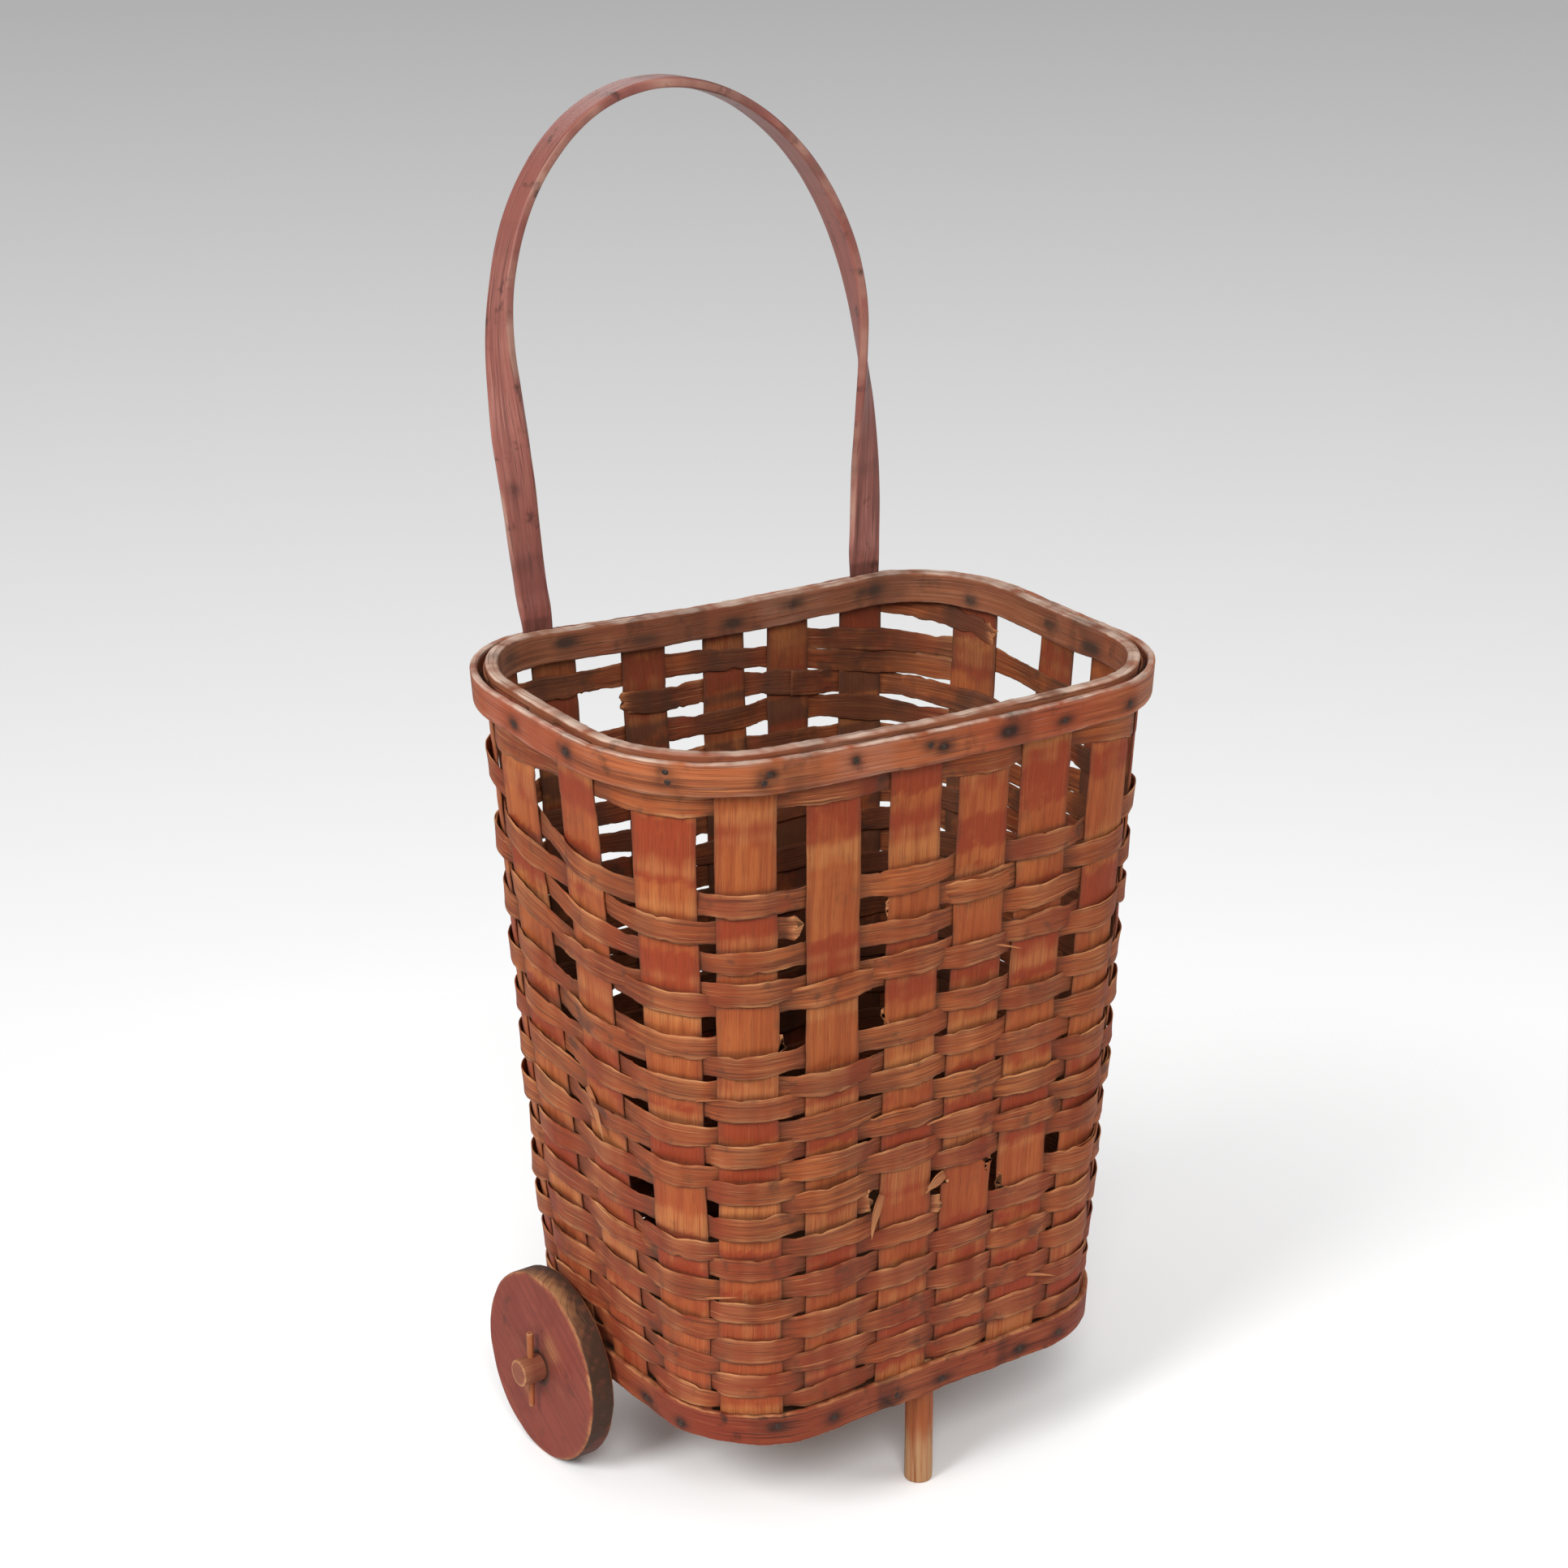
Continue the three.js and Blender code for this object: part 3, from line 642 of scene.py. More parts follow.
# How far a weaver lies outside the middle of the stakes: beyond each stake on its own side, with a bulge of
# its own in the middle, and crossing over in the gaps between
def weaveOffset(turn, level, row, bulge):
    fullness = np.random.default_rng(3000 + row).uniform(0.55, 1.45, stakeCount)
    number = np.arange(-stakeCount, 3 * stakeCount)
    k = number % stakeCount
    side = np.where((k + row) % 2 == 1, 1.0, -1.0)
    half = stakeWidth[k] / 2 / roundAt(level)
    spots = (stakeMiddle[k] + number // stakeCount)[:, None] + half[:, None] * weavers["bulgePlaces"]
    out = bulge * fullness[k] * np.where(side > 0, 1.0, 0.5)
    values = side[:, None] * (weavers["reach"] + out[:, None] * weavers["bulgeShape"])
    return np.interp(turn, spots.ravel(), values.ravel())


# Values blurred with a bell curve of the given width, in stations
def softened(values, width):
    reach = np.arange(-3 * width, 3 * width + 1)
    kernel = np.exp(-0.5 * (reach / width) ** 2)
    return np.convolve(np.pad(values, 3 * width, mode="edge"), kernel / kernel.sum(), mode="valid")


# Nicks along an edge: dips of seeded place, depth and length
def nicks(length, seed):
    draw = np.random.default_rng(seed)
    size = weavers["nicks"]
    places = draw.uniform(length.min(), length.max(), size["count"])
    depths = draw.uniform(*size["depth"], size["count"])
    widths = draw.uniform(*size["length"], size["count"])
    return (depths * np.exp(-((length[:, None] - places) / widths) ** 2)).sum(1)


# A stretch of a weaver: a strip along the wall that widens over the stakes and narrows in the gaps. Its edges
# wander and are nicked, and a torn end runs out in uneven fibres that curl off the wall.
def weaverStretch(row, turn, height, offset, widest, torn, seed):
    level = float(riseOf(height).mean())
    length = (turn - turn[0]) * roundAt(level)
    columns = weavers["columns"]
    across, through = stripSection(widest, weavers["thickness"], columns, weavers["ease"])
    part = across / across.max()
    over = smooth(np.abs(offset), 0.0, 0.0022)
    width = (0.90 + 0.10 * over) * (1 + 0.08 * wander(turn, 800 + row, 6)) * (1.10 - 0.10 * alongFront(turn))
    upper = weavers["edgeWander"] * wander(turn, 900 + seed, 26) - nicks(length, 910 + seed)
    lower = weavers["edgeWander"] * wander(turn, 950 + seed, 26) - nicks(length, 960 + seed)
    edge = np.where(part > 0, upper[:, None], lower[:, None]) * np.sign(part) * np.abs(part) ** 3
    wide = across * width[:, None] + edge
    lifted = weavers["cup"] * np.sign(offset) * (0.4 + 0.6 * wander(turn, 1050 + seed, 18))
    rolled = weavers["roll"] * wander(turn, 1100 + seed, 9)
    bent = lifted[:, None] * part ** 2 + rolled[:, None] * part
    spread = np.linspace(-1, 1, columns)
    fibres = np.random.default_rng(1150 + seed).uniform(0, 0.62, (2, columns)) + 0.25 * spread ** 2
    turns = turn[:, None] + 0 * part
    fray = np.zeros_like(turn)
    for end, (isTorn, away) in enumerate(zip(torn, (length, length[-1] - length))):
        near = np.clip(1 - away / weavers["tornReach"], 0, 1) * isTorn
        ragged = np.interp(part, spread, fibres[end]) * weavers["tornReach"] / roundAt(level)
        turns = turns + (1 - 2 * end) * near[:, None] * ragged
        fray = np.maximum(fray, near ** 2)
    fray = fray[:, None]
    middle = offset[:, None] + bent + weavers["curl"] * fray ** 2
    points = wallPoint(turns, riseOf(height)[:, None] + wide / wallHeight, middle + through)
    outside = smooth(middle, *weavers["worn"])
    # Painted shade where the splint passes behind a stake
    behindStakeShade = smooth(middle, *weavers["behindStakeShade"])
    margin = np.abs(np.abs(across) - widest / 2)
    wear = (0.16 + 0.84 * np.exp(-margin / weavers["edgeWear"])) * (0.3 + 0.7 * outside)
    wear = wear * np.clip(0.55 + 0.65 * wander(turn, 1200 + seed, 15), 0, 1)[:, None] + 0.55 * fray
    # Painted shade under the lower edge of the outer face
    lowerEdgeShade = np.exp(-margin / weavers["edgeShade"]) * (through > 0) * (across < 0)
    dusty = smooth(wander(turn, 1250 + row, 11), 0.1, 1.0)[:, None]
    # Painted shade behind the stakes, on the inside face and under the lower edge, with real dust along the
    # row
    dirtAndShade = (0.45 * behindStakeShade + 0.25 * (through < 0) + 0.35 * lowerEdgeShade + 0.22 * dusty) * (1 - fray)
    # The stain mark also grows towards the bottom, which makes the lower rows darker
    stain = 0.30 + 0.6 * wander(turn, 1300 + row, 5)[:, None] + 0.85 * smooth(level, 0.5, 0.05)
    marks = {"stain": stain, "wear": wear, "dirtAndShade": dirtAndShade}
    return points, length + 1.3 * row + seed * 0.17, looped(across), marks


# A splinter: a ribbon that leaves the wall from its root to its jagged tip and narrows on the way
def splinterRibbon(row, root, tip, width, standOff):
    shape = splinterShape
    share = np.linspace(0, 1, shape["stations"])
    turn = turnAt(root[0]) + (turnAt(tip[0]) - turnAt(root[0])) * share
    up = root[1] + (tip[1] - root[1]) * share
    rise = riseOf(heightOfRow(row, turn) + up)
    offset = shape["root"] + standOff * share ** 1.5
    spots = wallPoint(turn, rise, offset)
    outward = unit(wallPoint(turn, rise, offset + 0.001) - spots)
    way = np.gradient(spots, axis=0)
    outward = outward - way * ((outward * way).sum(1) / (way * way).sum(1))[:, None]
    sideways = unit(np.cross(outward, way))
    across, through = stripSection(1.0, shape["thickness"], shape["columns"], shape["ease"])
    taper = width * (1 - 0.7 * share ** 3) * (0.75 + 0.25 * np.sin(np.pi * np.clip(share * 1.4, 0, 1)))
    points = spots[:, None] + sideways[:, None] * (across * taper[:, None])[..., None]
    points = points + outward[:, None] * through[:, None]
    jags = np.random.default_rng(4000 + row).uniform(-1, 1, shape["columns"])
    fibres = np.linspace(-0.5, 0.5, shape["columns"])
    jagged = shape["jag"] * np.interp(across, fibres, jags) * share[:, None] ** 5
    points = points + unit(way)[:, None] * jagged[..., None]
    marks = {"stain": 0.0, "wear": 0.3 + 0.5 * share[:, None] + 0 * across, "dirtAndShade": 0.0}
    return points, share * 0.03 + row, looped(across * width), marks


# One weaver: it starts behind a stake, goes once round and laps over itself as far as the next stake but one
def buildWeaver(row, name, nodeName, heightAt, bulge, lapStake, extra=()):
    start, end = turnAt(lapStake), turnAt(lapStake + 2) + 1
    turn = np.linspace(start, end, int((end - start) * rimRound / weavers["spacing"]))
    height = heightAt(turn)
    level = float(riseOf(height).mean())
    offset = softened(weaveOffset(turn, level, row, bulge), 2)
    lapped = smooth(turn, start + 1 - weavers["lapEase"], start + 1 + weavers["lapEase"])
    offset = offset * (1 + weavers["lapSwell"] * lapped)
    widest = weavers["width"] * (weavers["firstWidth"] if row == 0 else 1 + 0.05 * np.sin(2.3 * row))
    cuts = sorted((turnAt(low), turnAt(high)) for tornRow, low, high in weavers["tears"] if tornRow == row)
    cuts = [(low + lap, high + lap) for lap in (0, 1) for low, high in cuts]
    bounds = [start] + [np.clip(edge, start, end) for cut in cuts for edge in cut] + [end]
    patches = []
    for piece, (low, high) in enumerate(zip(bounds[::2], bounds[1::2])):
        if high - low < weavers["shortest"]:
            continue
        held = (turn >= low) & (turn <= high)
        torn = (low > start, high < end)
        seed = row + 40 * piece
        patches.append(weaverStretch(row, turn[held], height[held], offset[held], widest, torn, seed))
    patches += [splinterRibbon(*splinter) for splinter in splinters if splinter[0] == row]
    patches += extra
    settle(skin(name, patches, False, weaverWood), "basket", "weaver_wood", nodeName)


for row in rowNumbers:
    bulge = weavers["lowBulge"] + (weavers["bulge"] - weavers["lowBulge"]) * smooth(row, 2, 5)
    lapStake = (2 * (3 * row % 10) + row) % stakeCount
    name, nodeName = f"weaverSplint{row + 1:02d}", f"weaver_{row + 1:02d}"
    buildWeaver(row, name, nodeName, partial(heightOfRow, row), bulge, lapStake)

# The topmost weaver is tucked up under the rim. It sags where the other rows stand high, hangs low at the
# right end, and its end laps above its own start.
rimWeaver = {
    "row": weavers["rows"],
    "drop": 0.0295,
    "bulge": 0.0012,
    "sag": 0.010,
    "rightSag": 0.026,
    "rightSpread": (0.16, 0.10),
    "lapStake": 1,
    "lapDrop": 0.0165,
    "stub": {"from": 0.74, "to": 2.45, "stations": 58, "low": 0.507, "climb": 0.026,
             "rise": 0.93, "bulge": 0.0004},
}


def heightUnderRim(turn):
    aside = (turn + 0.5) % 1 - 0.5
    hanging = rimWeaver["rightSag"] * np.exp(-(aside / np.where(aside > 0, *rimWeaver["rightSpread"])) ** 4)
    lapStart = rimWeaver["lapStake"]
    lapped = rimWeaver["lapDrop"] * smooth(turn, turnAt(lapStart + 4), turnAt(lapStart + 1))
    sag = rimWeaver["sag"] * slipped(turn)
    drop = rimWeaver["drop"] + sag + hanging + lapped + 0.0008 * wander(turn, 77, 3)
    return footHeight + riseBelowRim(turn, drop) * wallHeight


# The stub of an older rim weaver: from behind the outer hoop at the back down to its torn end
def rimStub():
    stub = rimWeaver["stub"]
    turn = np.linspace(turnAt(stub["from"]), turnAt(stub["to"]), stub["stations"])
    height = stub["low"] + stub["climb"] * (turn - turn[0]) / (turn[-1] - turn[0])
    offset = softened(weaveOffset(turn, stub["rise"], rimWeaver["row"] - 1, stub["bulge"]), 2)
    return weaverStretch(rimWeaver["row"], turn, height, offset, weavers["width"], (True, False), 97)


buildWeaver(rimWeaver["row"], "rimWeaverSplint", "rim_weaver", heightUnderRim, rimWeaver["bulge"],
            rimWeaver["lapStake"], [rimStub()])
print("stage: weavers")

# Hoops: two at the rim, of which the inner one is thick, worn round and stands proud, and one at the foot.
# Top and bottom of a rim hoop are drops below the rim, and those of the foot hoop are heights above its foot.
hoops = {
    "stations": 620,
    "columns": 9,
    "ripple": 0.0004,
    "topWearAndHighlight": (0.0016, 0.0004),
    "bottomWear": 0.0010,
    "stainHeight": 0.0048,   # how far up and down the stain of a nail reaches
    "rimOuter": {"level": 1, "inside": 0.004, "thickness": 0.005, "top": 0.0, "bottom": 0.022,
                 "corner": 0.0012, "edgeWander": 0.0005, "dirt": 0.35},
    "rimInner": {"level": 1, "inside": -0.0095, "thickness": 0.0085, "top": -0.0025, "bottom": 0.0195,
                 "corner": 0.0016, "edgeWander": 0.0005, "dirt": 0.35},
    "foot": {"level": 0, "inside": 0.001, "thickness": 0.004, "top": wallSizes["footHoop"], "bottom": 0.0,
             "corner": 0.0011, "edgeWander": 0.0009, "dirt": 0.7},
}
hoopLook = {
    **splintGrain,
    "broad": (4, 150, 1),
    "dark": (0.17, 0.044, 0.016),
    "main": (0.375, 0.104, 0.036),
    "light": (0.50, 0.184, 0.072),
    "stain": (0.295, 0.060, 0.022),
    "worn": (0.52, 0.37, 0.29),
    "dirtAndShade": (0.030, 0.012, 0.008),
    "roughness": (0.48, 0.75),
    "pores": 0.5,
    "fibres": 0.2,
    "smudges": 0.55,
}
innerLook = {
    **hoopLook,
    "dark": (0.165, 0.050, 0.023),
    "main": (0.30, 0.100, 0.043),
    "light": (0.41, 0.165, 0.080),
    "stain": (0.24, 0.068, 0.030),
    "dirtAndShade": (0.052, 0.028, 0.019),
}
footLook = {
    **hoopLook,
    "dark": (0.14, 0.026, 0.010),
    "main": (0.24, 0.050, 0.018),
    "light": (0.335, 0.094, 0.036),
    "stain": (0.18, 0.028, 0.012),
    "worn": (0.42, 0.17, 0.07),
    "pores": 0.75,
    "fibres": 0.3,
    "smudge": 62.0,
    "smudges": 0.85,
    "bump": 0.9,
}
# Places of nails as stake number and millimetres below the rim or, on the foot hoop, above its foot. Those of
# the inner hoop are clinched ends, which show as stains alone.
rimNails = np.array([
    (7.78, 17), (9.24, 12.5), (10.08, 11), (11.1, 6.5), (11.12, 13), (12.16, 9), (12.11, 14), (13.16, 9.5),
    (14.06, 9), (14.25, 11.5), (15.2, 11), (16.1, 13), (17.06, 14.5), (18.1, 10), (19.0, 12), (0.1, 9),
    (1.05, 12), (1.98, 8), (3.1, 11), (4.0, 13), (5.1, 9), (6.1, 12),
])
clinches = np.array([(k + 0.3 * np.sin(3.1 * k), 9 + 4 * np.sin(1.7 * k)) for k in stakeNumbers])
footNails = np.array([
    (10.38, 7.5), (10.98, 5.5), (12.29, 13), (12.99, 9.5), (13.9, 8), (14.68, 7.5), (16.12, 7.5),
    (16.79, 8.5), (18.1, 10), (19.2, 8), (0.2, 11), (1.3, 8), (2.2, 9), (3.1, 12), (4.3, 8), (5.2, 10),
    (6.1, 7), (7.2, 11), (8.4, 9), (9.3, 8),
])


def middleOf(hoop):
    return (hoop["top"] + hoop["bottom"]) / 2


# Rise of a place on a hoop, given by its height above the hoop's middle
def riseOnHoop(hoop, turn, up):
    if hoop["level"] == 1:
        return riseBelowRim(turn, middleOf(hoop) - up)
    return riseOf(footHeight + middleOf(hoop) + up)


# Nails of a hoop as turn and height above its middle, with the reach and strength of the stain about each
def nailSpots(places, hoop, reach, strength):
    count = len(places)
    draw = np.random.default_rng(5000 + count)
    reaches, strengths = draw.uniform(*reach, count), draw.uniform(*strength, count)
    up = (places[:, 1] / 1000 - middleOf(hoop)) * (-1 if hoop["level"] == 1 else 1)
    return np.stack([turnAt(places[:, 0]), up, reaches, strengths], 1)


# Dark iron stain about each nail, smeared along the grain
def nailStains(turn, height, spots, level):
    away = np.abs(turn[:, None, None] - spots[:, 0])
    away = np.minimum(away % 1, 1 - away % 1) * roundAt(level)
    up = height[..., None] - spots[:, 1]
    return (spots[:, 3] * np.exp(-(away / spots[:, 2]) ** 2 - (up / hoops["stainHeight"]) ** 2)).max(-1)


# A hoop's points: round the wall by stations and round its section by corners, with uneven edges and a ripple
def buildHoop(name, nodeName, hoop, spots, seed, material):
    count, level = hoops["stations"], hoop["level"]
    turn = np.arange(count) / count
    tall = abs(hoop["bottom"] - hoop["top"])
    across, through = roundedSection(tall, hoop["thickness"], hoop["corner"], hoops["columns"])
    part = across / across.max()
    upper = 0.5 * wander(turn, seed + 5, 9, 5, True) + 0.4 * wander(turn, seed + 9, 60, 3, True)
    lower = wander(turn, seed + 6, 11, 5, True)
    uneven = np.where(part > 0, upper[:, None], lower[:, None])
    height = across + hoop["edgeWander"] * uneven * np.abs(part) ** 2
    ripple = hoops["ripple"] * wander(turn, seed, 7, 4, True)[:, None]
    middle = hoop["inside"] + hoop["thickness"] / 2
    points = wallPoint(turn[:, None], riseOnHoop(hoop, turn[:, None], height), middle + through + ripple)
    topEdge = smooth(tall / 2 - across, *hoops["topWearAndHighlight"])
    bottomEdge = np.exp(-np.abs(across + tall / 2) / hoops["bottomWear"])
    wear = (0.95 * topEdge + 0.4 * bottomEdge) * (0.7 + 0.6 * wander(turn, seed + 1, 26, 4, True)[:, None])
    wear = wear + 0.12 * smooth(wander(turn, seed + 7, 5, 4, True), 0.2, 1.0)[:, None]
    # Iron stains about the nails, and painted shade on the inside face
    dirtAndShade = nailStains(turn, height, spots, level) + 0.22 * (through < 0)
    dirtAndShade = dirtAndShade + hoop["dirt"] * smooth(wander(turn, seed + 8, 8, 4, True), 0.35, 1.1)[:, None]
    stain = 0.35 + 0.6 * wander(turn, seed + 2, 3, 4, True)[:, None]
    along = np.arange(count + 1) / count * roundAt(level) + seed
    marks = {"stain": stain, "wear": wear, "dirtAndShade": dirtAndShade}
    piece = skin(name, [(points, along, looped(across + 0.6 * through), marks)], True, material)
    settle(piece, "basket", "rim_wood", nodeName)


rimSpots = nailSpots(rimNails, hoops["rimOuter"], (0.005, 0.009), (0.8, 1.2))
innerSpots = nailSpots(clinches, hoops["rimInner"], (0.005, 0.016), (0.1, 1.0))
footSpots = nailSpots(footNails, hoops["foot"], (0.005, 0.010), (0.7, 1.2))
hoopWood = woodMaterial("hoopWood", hoopLook)
innerWood = woodMaterial("innerWood", innerLook)
footWood = woodMaterial("footWood", footLook)
buildHoop("rimOuterBand", "rim_hoop_outer", hoops["rimOuter"], rimSpots, 11, hoopWood)
buildHoop("rimInnerBand", "rim_hoop_inner", hoops["rimInner"], innerSpots, 22, innerWood)
buildHoop("footBand", "foot_hoop", hoops["foot"], footSpots, 33, footWood)
print("stage: hoops")

# Nails: low domed heads on the outside of the rim's outer hoop and of the foot hoop
nails = {
    "radius": 0.0024,
    "height": 0.0008,
    "sink": 0.0006,
    "rings": 6,
    "corners": 12,
    "dark": (0.022, 0.016, 0.014),
    "rust": (0.075, 0.035, 0.02),
    "speck": 900.0,
    "metallic": 0.55,
    "roughness": 0.62,
}
nailIron = bpy.data.materials.new("nailIron")
nailIron.use_nodes = True
ironTree = nailIron.node_tree
ironShader = ironTree.nodes["Principled BSDF"]
ironSpeck = noise(ironTree, node(ironTree, "ShaderNodeTexCoord").outputs["Object"], nails["speck"])
ironColour = blendColours(ironTree, ramp(ironTree, ironSpeck, 0.4, 0.65), nails["dark"], nails["rust"])
link(ironTree, ironColour, ironShader.inputs["Base Color"])
ironShader.inputs["Metallic"].default_value = nails["metallic"]
ironShader.inputs["Roughness"].default_value = nails["roughness"]


# Heads as lathed domes: the radius runs out along a quarter wave while the height falls from the crown to
# the sink
def buildNails(name, spots, hoop):
    ringShare = np.linspace(0, 1, nails["rings"])[:, None, None]
    spin = np.linspace(0, 2 * np.pi, nails["corners"] + 1)[:-1][None, :, None]
    radius = nails["radius"] * np.sin(0.5 * np.pi * ringShare)
    turns = spots[:, 0] + radius * np.cos(spin) / roundAt(hoop["level"])
    rises = riseOnHoop(hoop, turns, spots[:, 1] + radius * np.sin(spin))
    crown = nails["height"] * np.cos(0.5 * np.pi * ringShare) - nails["sink"] * ringShare
    points = wallPoint(turns, rises, hoop["inside"] + hoop["thickness"] + crown)
    index = np.arange(points[..., 0].size).reshape(points.shape[:3])
    nextCorner = np.roll(index, -1, axis=1)
    quads = np.stack([index[:-1], index[1:], nextCorner[1:], nextCorner[:-1]], -1).reshape(-1, 4)
    mesh = bpy.data.meshes.new(name)
    mesh.from_pydata(points.reshape(-1, 3).tolist(), [], quads.tolist())
    settle(finished(name, mesh, nailIron), "basket", "nail_iron")


buildNails("rimNails", rimSpots, hoops["rimOuter"])
buildNails("footNails", footSpots, hoops["foot"])
print("stage: nails")

# Handle: one strip from the left foot over the arch to the right foot, a quarter twisted in each leg
handle = {
    "width": 0.023,
    "thickness": 0.0065,
    "corner": 0.0018,
    "columns": 5,
    "tailStations": 14,
    "legStations": 60,
    "archStations": 150,
    "footThickness": 0.002,
    "footOffset": 0.0025,
    "footSpan": 0.270,
    "bellySpan": 0.288,
    "spring": 0.735,
    "top": cadBox[1].z,
    "leanLeft": 0.024,
    "leanBack": 0.018,
    "taper": 0.020,
    "twistStart": 0.040,
    "twistLength": 0.200,
    "tail": 0.022,           # how far the foot reaches below the rim's top
    "seat": 0.03,            # up to so far above the rim the foot is cupped to the wall that it is nailed to
    "sway": 0.0008,
    "knots": {"spacing": 0.31, "first": 0.12, "length": 0.006, "aside": 0.003, "width": 0.004},
}
handleLook = {
    **splintGrain,
    "broad": (14, 70, 1),
    "fine": (26, 480, 1),
    "dark": (0.125, 0.040, 0.030),
    "main": (0.280, 0.094, 0.072),
    "light": (0.40, 0.168, 0.130),
    "stain": (0.215, 0.062, 0.046),
    "worn": (0.37, 0.20, 0.145),
    "dirtAndShade": (0.040, 0.014, 0.010),
    "roughness": (0.36, 0.58),
    "specular": 0.35,
    "bump": 0.35,
    "patch": 30.0,
    "smudge": 60.0,
    "smudges": 0.8,
    "fibres": 0.2,
}
handleWood = woodMaterial("handleWood", handleLook)


def handleFootTurn(side):
    return 0.25 - side * handle["footSpan"] / 2 / rimRound


# Points leaned over to the left, as the square of their height above the rim, and to the back, as the height
def leaned(x, y, z):
    up = np.clip((z - wallSizes["rimHeight"]) / (handle["top"] - wallSizes["rimHeight"]), 0, 1)
    return np.stack([x - handle["leanLeft"] * up ** 2, y + handle["leanBack"] * up, z], -1)


# Middle line of one leg: the foot in the rim, then a spread that eases out as a quarter sine up to the spring
def handleLeg(side):
    turn = handleFootTurn(side)
    drop = np.linspace(handle["tail"], 0, handle["tailStations"])
    tail = wallPoint(turn, riseBelowRim(turn, drop), handle["footOffset"])
    rim = tail[-1]
    up = np.linspace(0, 1, handle["legStations"])[1:-1]
    x = rim[0] + (side * handle["bellySpan"] / 2 - rim[0]) * np.sin(up * np.pi / 2)
    leg = leaned(x, np.full(len(up), rim[1]), rim[2] + up * (handle["spring"] - rim[2]))
    return np.concatenate([tail, leg])


# The handle's points: along its middle line by stations and round its section by corners
def buildHandle():
    left, right = handleLeg(-1), handleLeg(1)[::-1]
    leftRim, rightRim = left[handle["tailStations"] - 1], right[-handle["tailStations"]]
    angle = np.linspace(np.pi, 0, handle["archStations"])
    crown = handle["top"] - handle["thickness"] / 2 - handle["spring"]
    archX = handle["bellySpan"] / 2 * np.cos(angle)
    arch = leaned(archX, np.full(len(angle), leftRim[1]), handle["spring"] + crown * np.sin(angle))
    spots = np.concatenate([left, arch, right])
    way = unit(np.gradient(spots, axis=0))
    side = np.where(np.arange(len(spots)) < len(spots) / 2, -1, 1)
    above = spots[:, 2] - np.where(side < 0, leftRim[2], rightRim[2])
    twist = smooth(above, handle["twistStart"], handle["twistStart"] + handle["twistLength"]) * np.pi / 2
    across = np.stack([-way[:, 2] * np.cos(twist), np.sin(twist), way[:, 0] * np.cos(twist)], -1)
    across = unit(across - way * (across * way).sum(1, keepdims=True))
    outward = np.cross(way, across)
    shaved = smooth(above, 0, handle["taper"])
    thickness = handle["footThickness"] + (handle["thickness"] - handle["footThickness"]) * shaved
    along = np.concatenate([[0], np.cumsum(np.linalg.norm(np.diff(spots, axis=0), axis=1))])
    wide, deep = roundedSection(handle["width"], handle["thickness"], handle["corner"], handle["columns"])
    wide = wide * (1 + 0.03 * wander(along, 21, 4))[:, None]
    deep = deep * (thickness / handle["thickness"] * (1 + 0.05 * wander(along, 22, 5)))[:, None]
    sway = (handle["sway"] * wander(along, 23, 2.2) * smooth(above, 0.0, 0.1))[:, None]
    points = spots[:, None] + across[:, None] * (wide + sway)[..., None] + outward[:, None] * deep[..., None]
    side, above, station = side[:, None], above[:, None], along[:, None]
    turn = handleFootTurn(side)
    footTurn = turn - side * wide / rimRound
    cupped = wallPoint(footTurn, riseBelowRim(turn, -above), handle["footOffset"] - deep)
    seated = smooth(above, handle["seat"], 0)[..., None]
    points = points * (1 - seated) + cupped * seated
    edge = np.clip(np.abs(wide) / (handle["width"] / 2), 0, 1)
    wear = smooth(edge, 0.86, 1.0) * (0.3 + 0.6 * wander(station, 24, 9))
    knots = handle["knots"]
    knotAlong = (station % knots["spacing"] - knots["first"]) / knots["length"]
    knotAcross = (wide - knots["aside"]) / knots["width"]
    # Dark knots, and painted shade where the foot sits down between the rim hoops
    dirtAndShade = 0.8 * np.exp(-knotAlong ** 2 - knotAcross ** 2) + 0.5 * (above < 0.01)
    dirtAndShade = dirtAndShade + 0.5 * smooth(wander(station, 25, 6), 0.4, 1.2)
    stain = 0.5 + 0.5 * wander(station, 26, 3)
    marks = {"stain": stain, "wear": wear, "dirtAndShade": dirtAndShade}
    piece = skin("handleStrip", [(points, along, looped(wide[0]), marks)], False, handleWood)
    settle(piece, "basket", "handle_wood", "handle")


buildHandle()
print("stage: handle")

# Wheels: discs sawn from board, worn at the edges and round the pin, with a bore for the axle
wheels = {
    "edge": 0.0026,
    "segments": 180,
    "facePoints": 22,
    "treadPoints": 8,
    "bore": 0.0098,
    "grain": np.radians(38),
    "flats": 0.0006,             # how far the tread is worn out of round
    "paleRing": (0.026, 0.008),  # radius and width of the pale ring on the outer face
    "darkRing": (0.017, 0.006),  # and of the dark ring within it, painted shade and stain round the axle stub
    "topWearAndHighlight": (1.75, 0.75),     # angle round the axle and spread of the painted highlight on the top of the tread
    "topHighlightAcross": (-0.009, 0.007),
    "edgeWear": 0.0016,
    "faceDepth": 0.004,
    # Out to this radius the face is darkened with painted shade and stain round the axle
    "boreShadeAndStain": 0.0125,
    "mottle": 700,
}
wheelLook = {
    **plainWood,
    "broad": (9, 60, 1),
    "fine": (24, 260, 1),
    "streak": (26, 420, 1),
    "fibre": (30, 520, 1),
    "dark": (0.190, 0.044, 0.030),
    "main": (0.250, 0.056, 0.035),
    "light": (0.32, 0.092, 0.056),
    "stain": (0.145, 0.026, 0.018),
    "worn": (0.46, 0.22, 0.09),
    "dirtAndShade": (0.052, 0.026, 0.016),
    "roughness": (0.55, 0.8),
    "patch": 34.0,
    "smudge": 52.0,
    "fines": 0.4,
    "fibres": 0.12,
    "pores": 0.3,
}
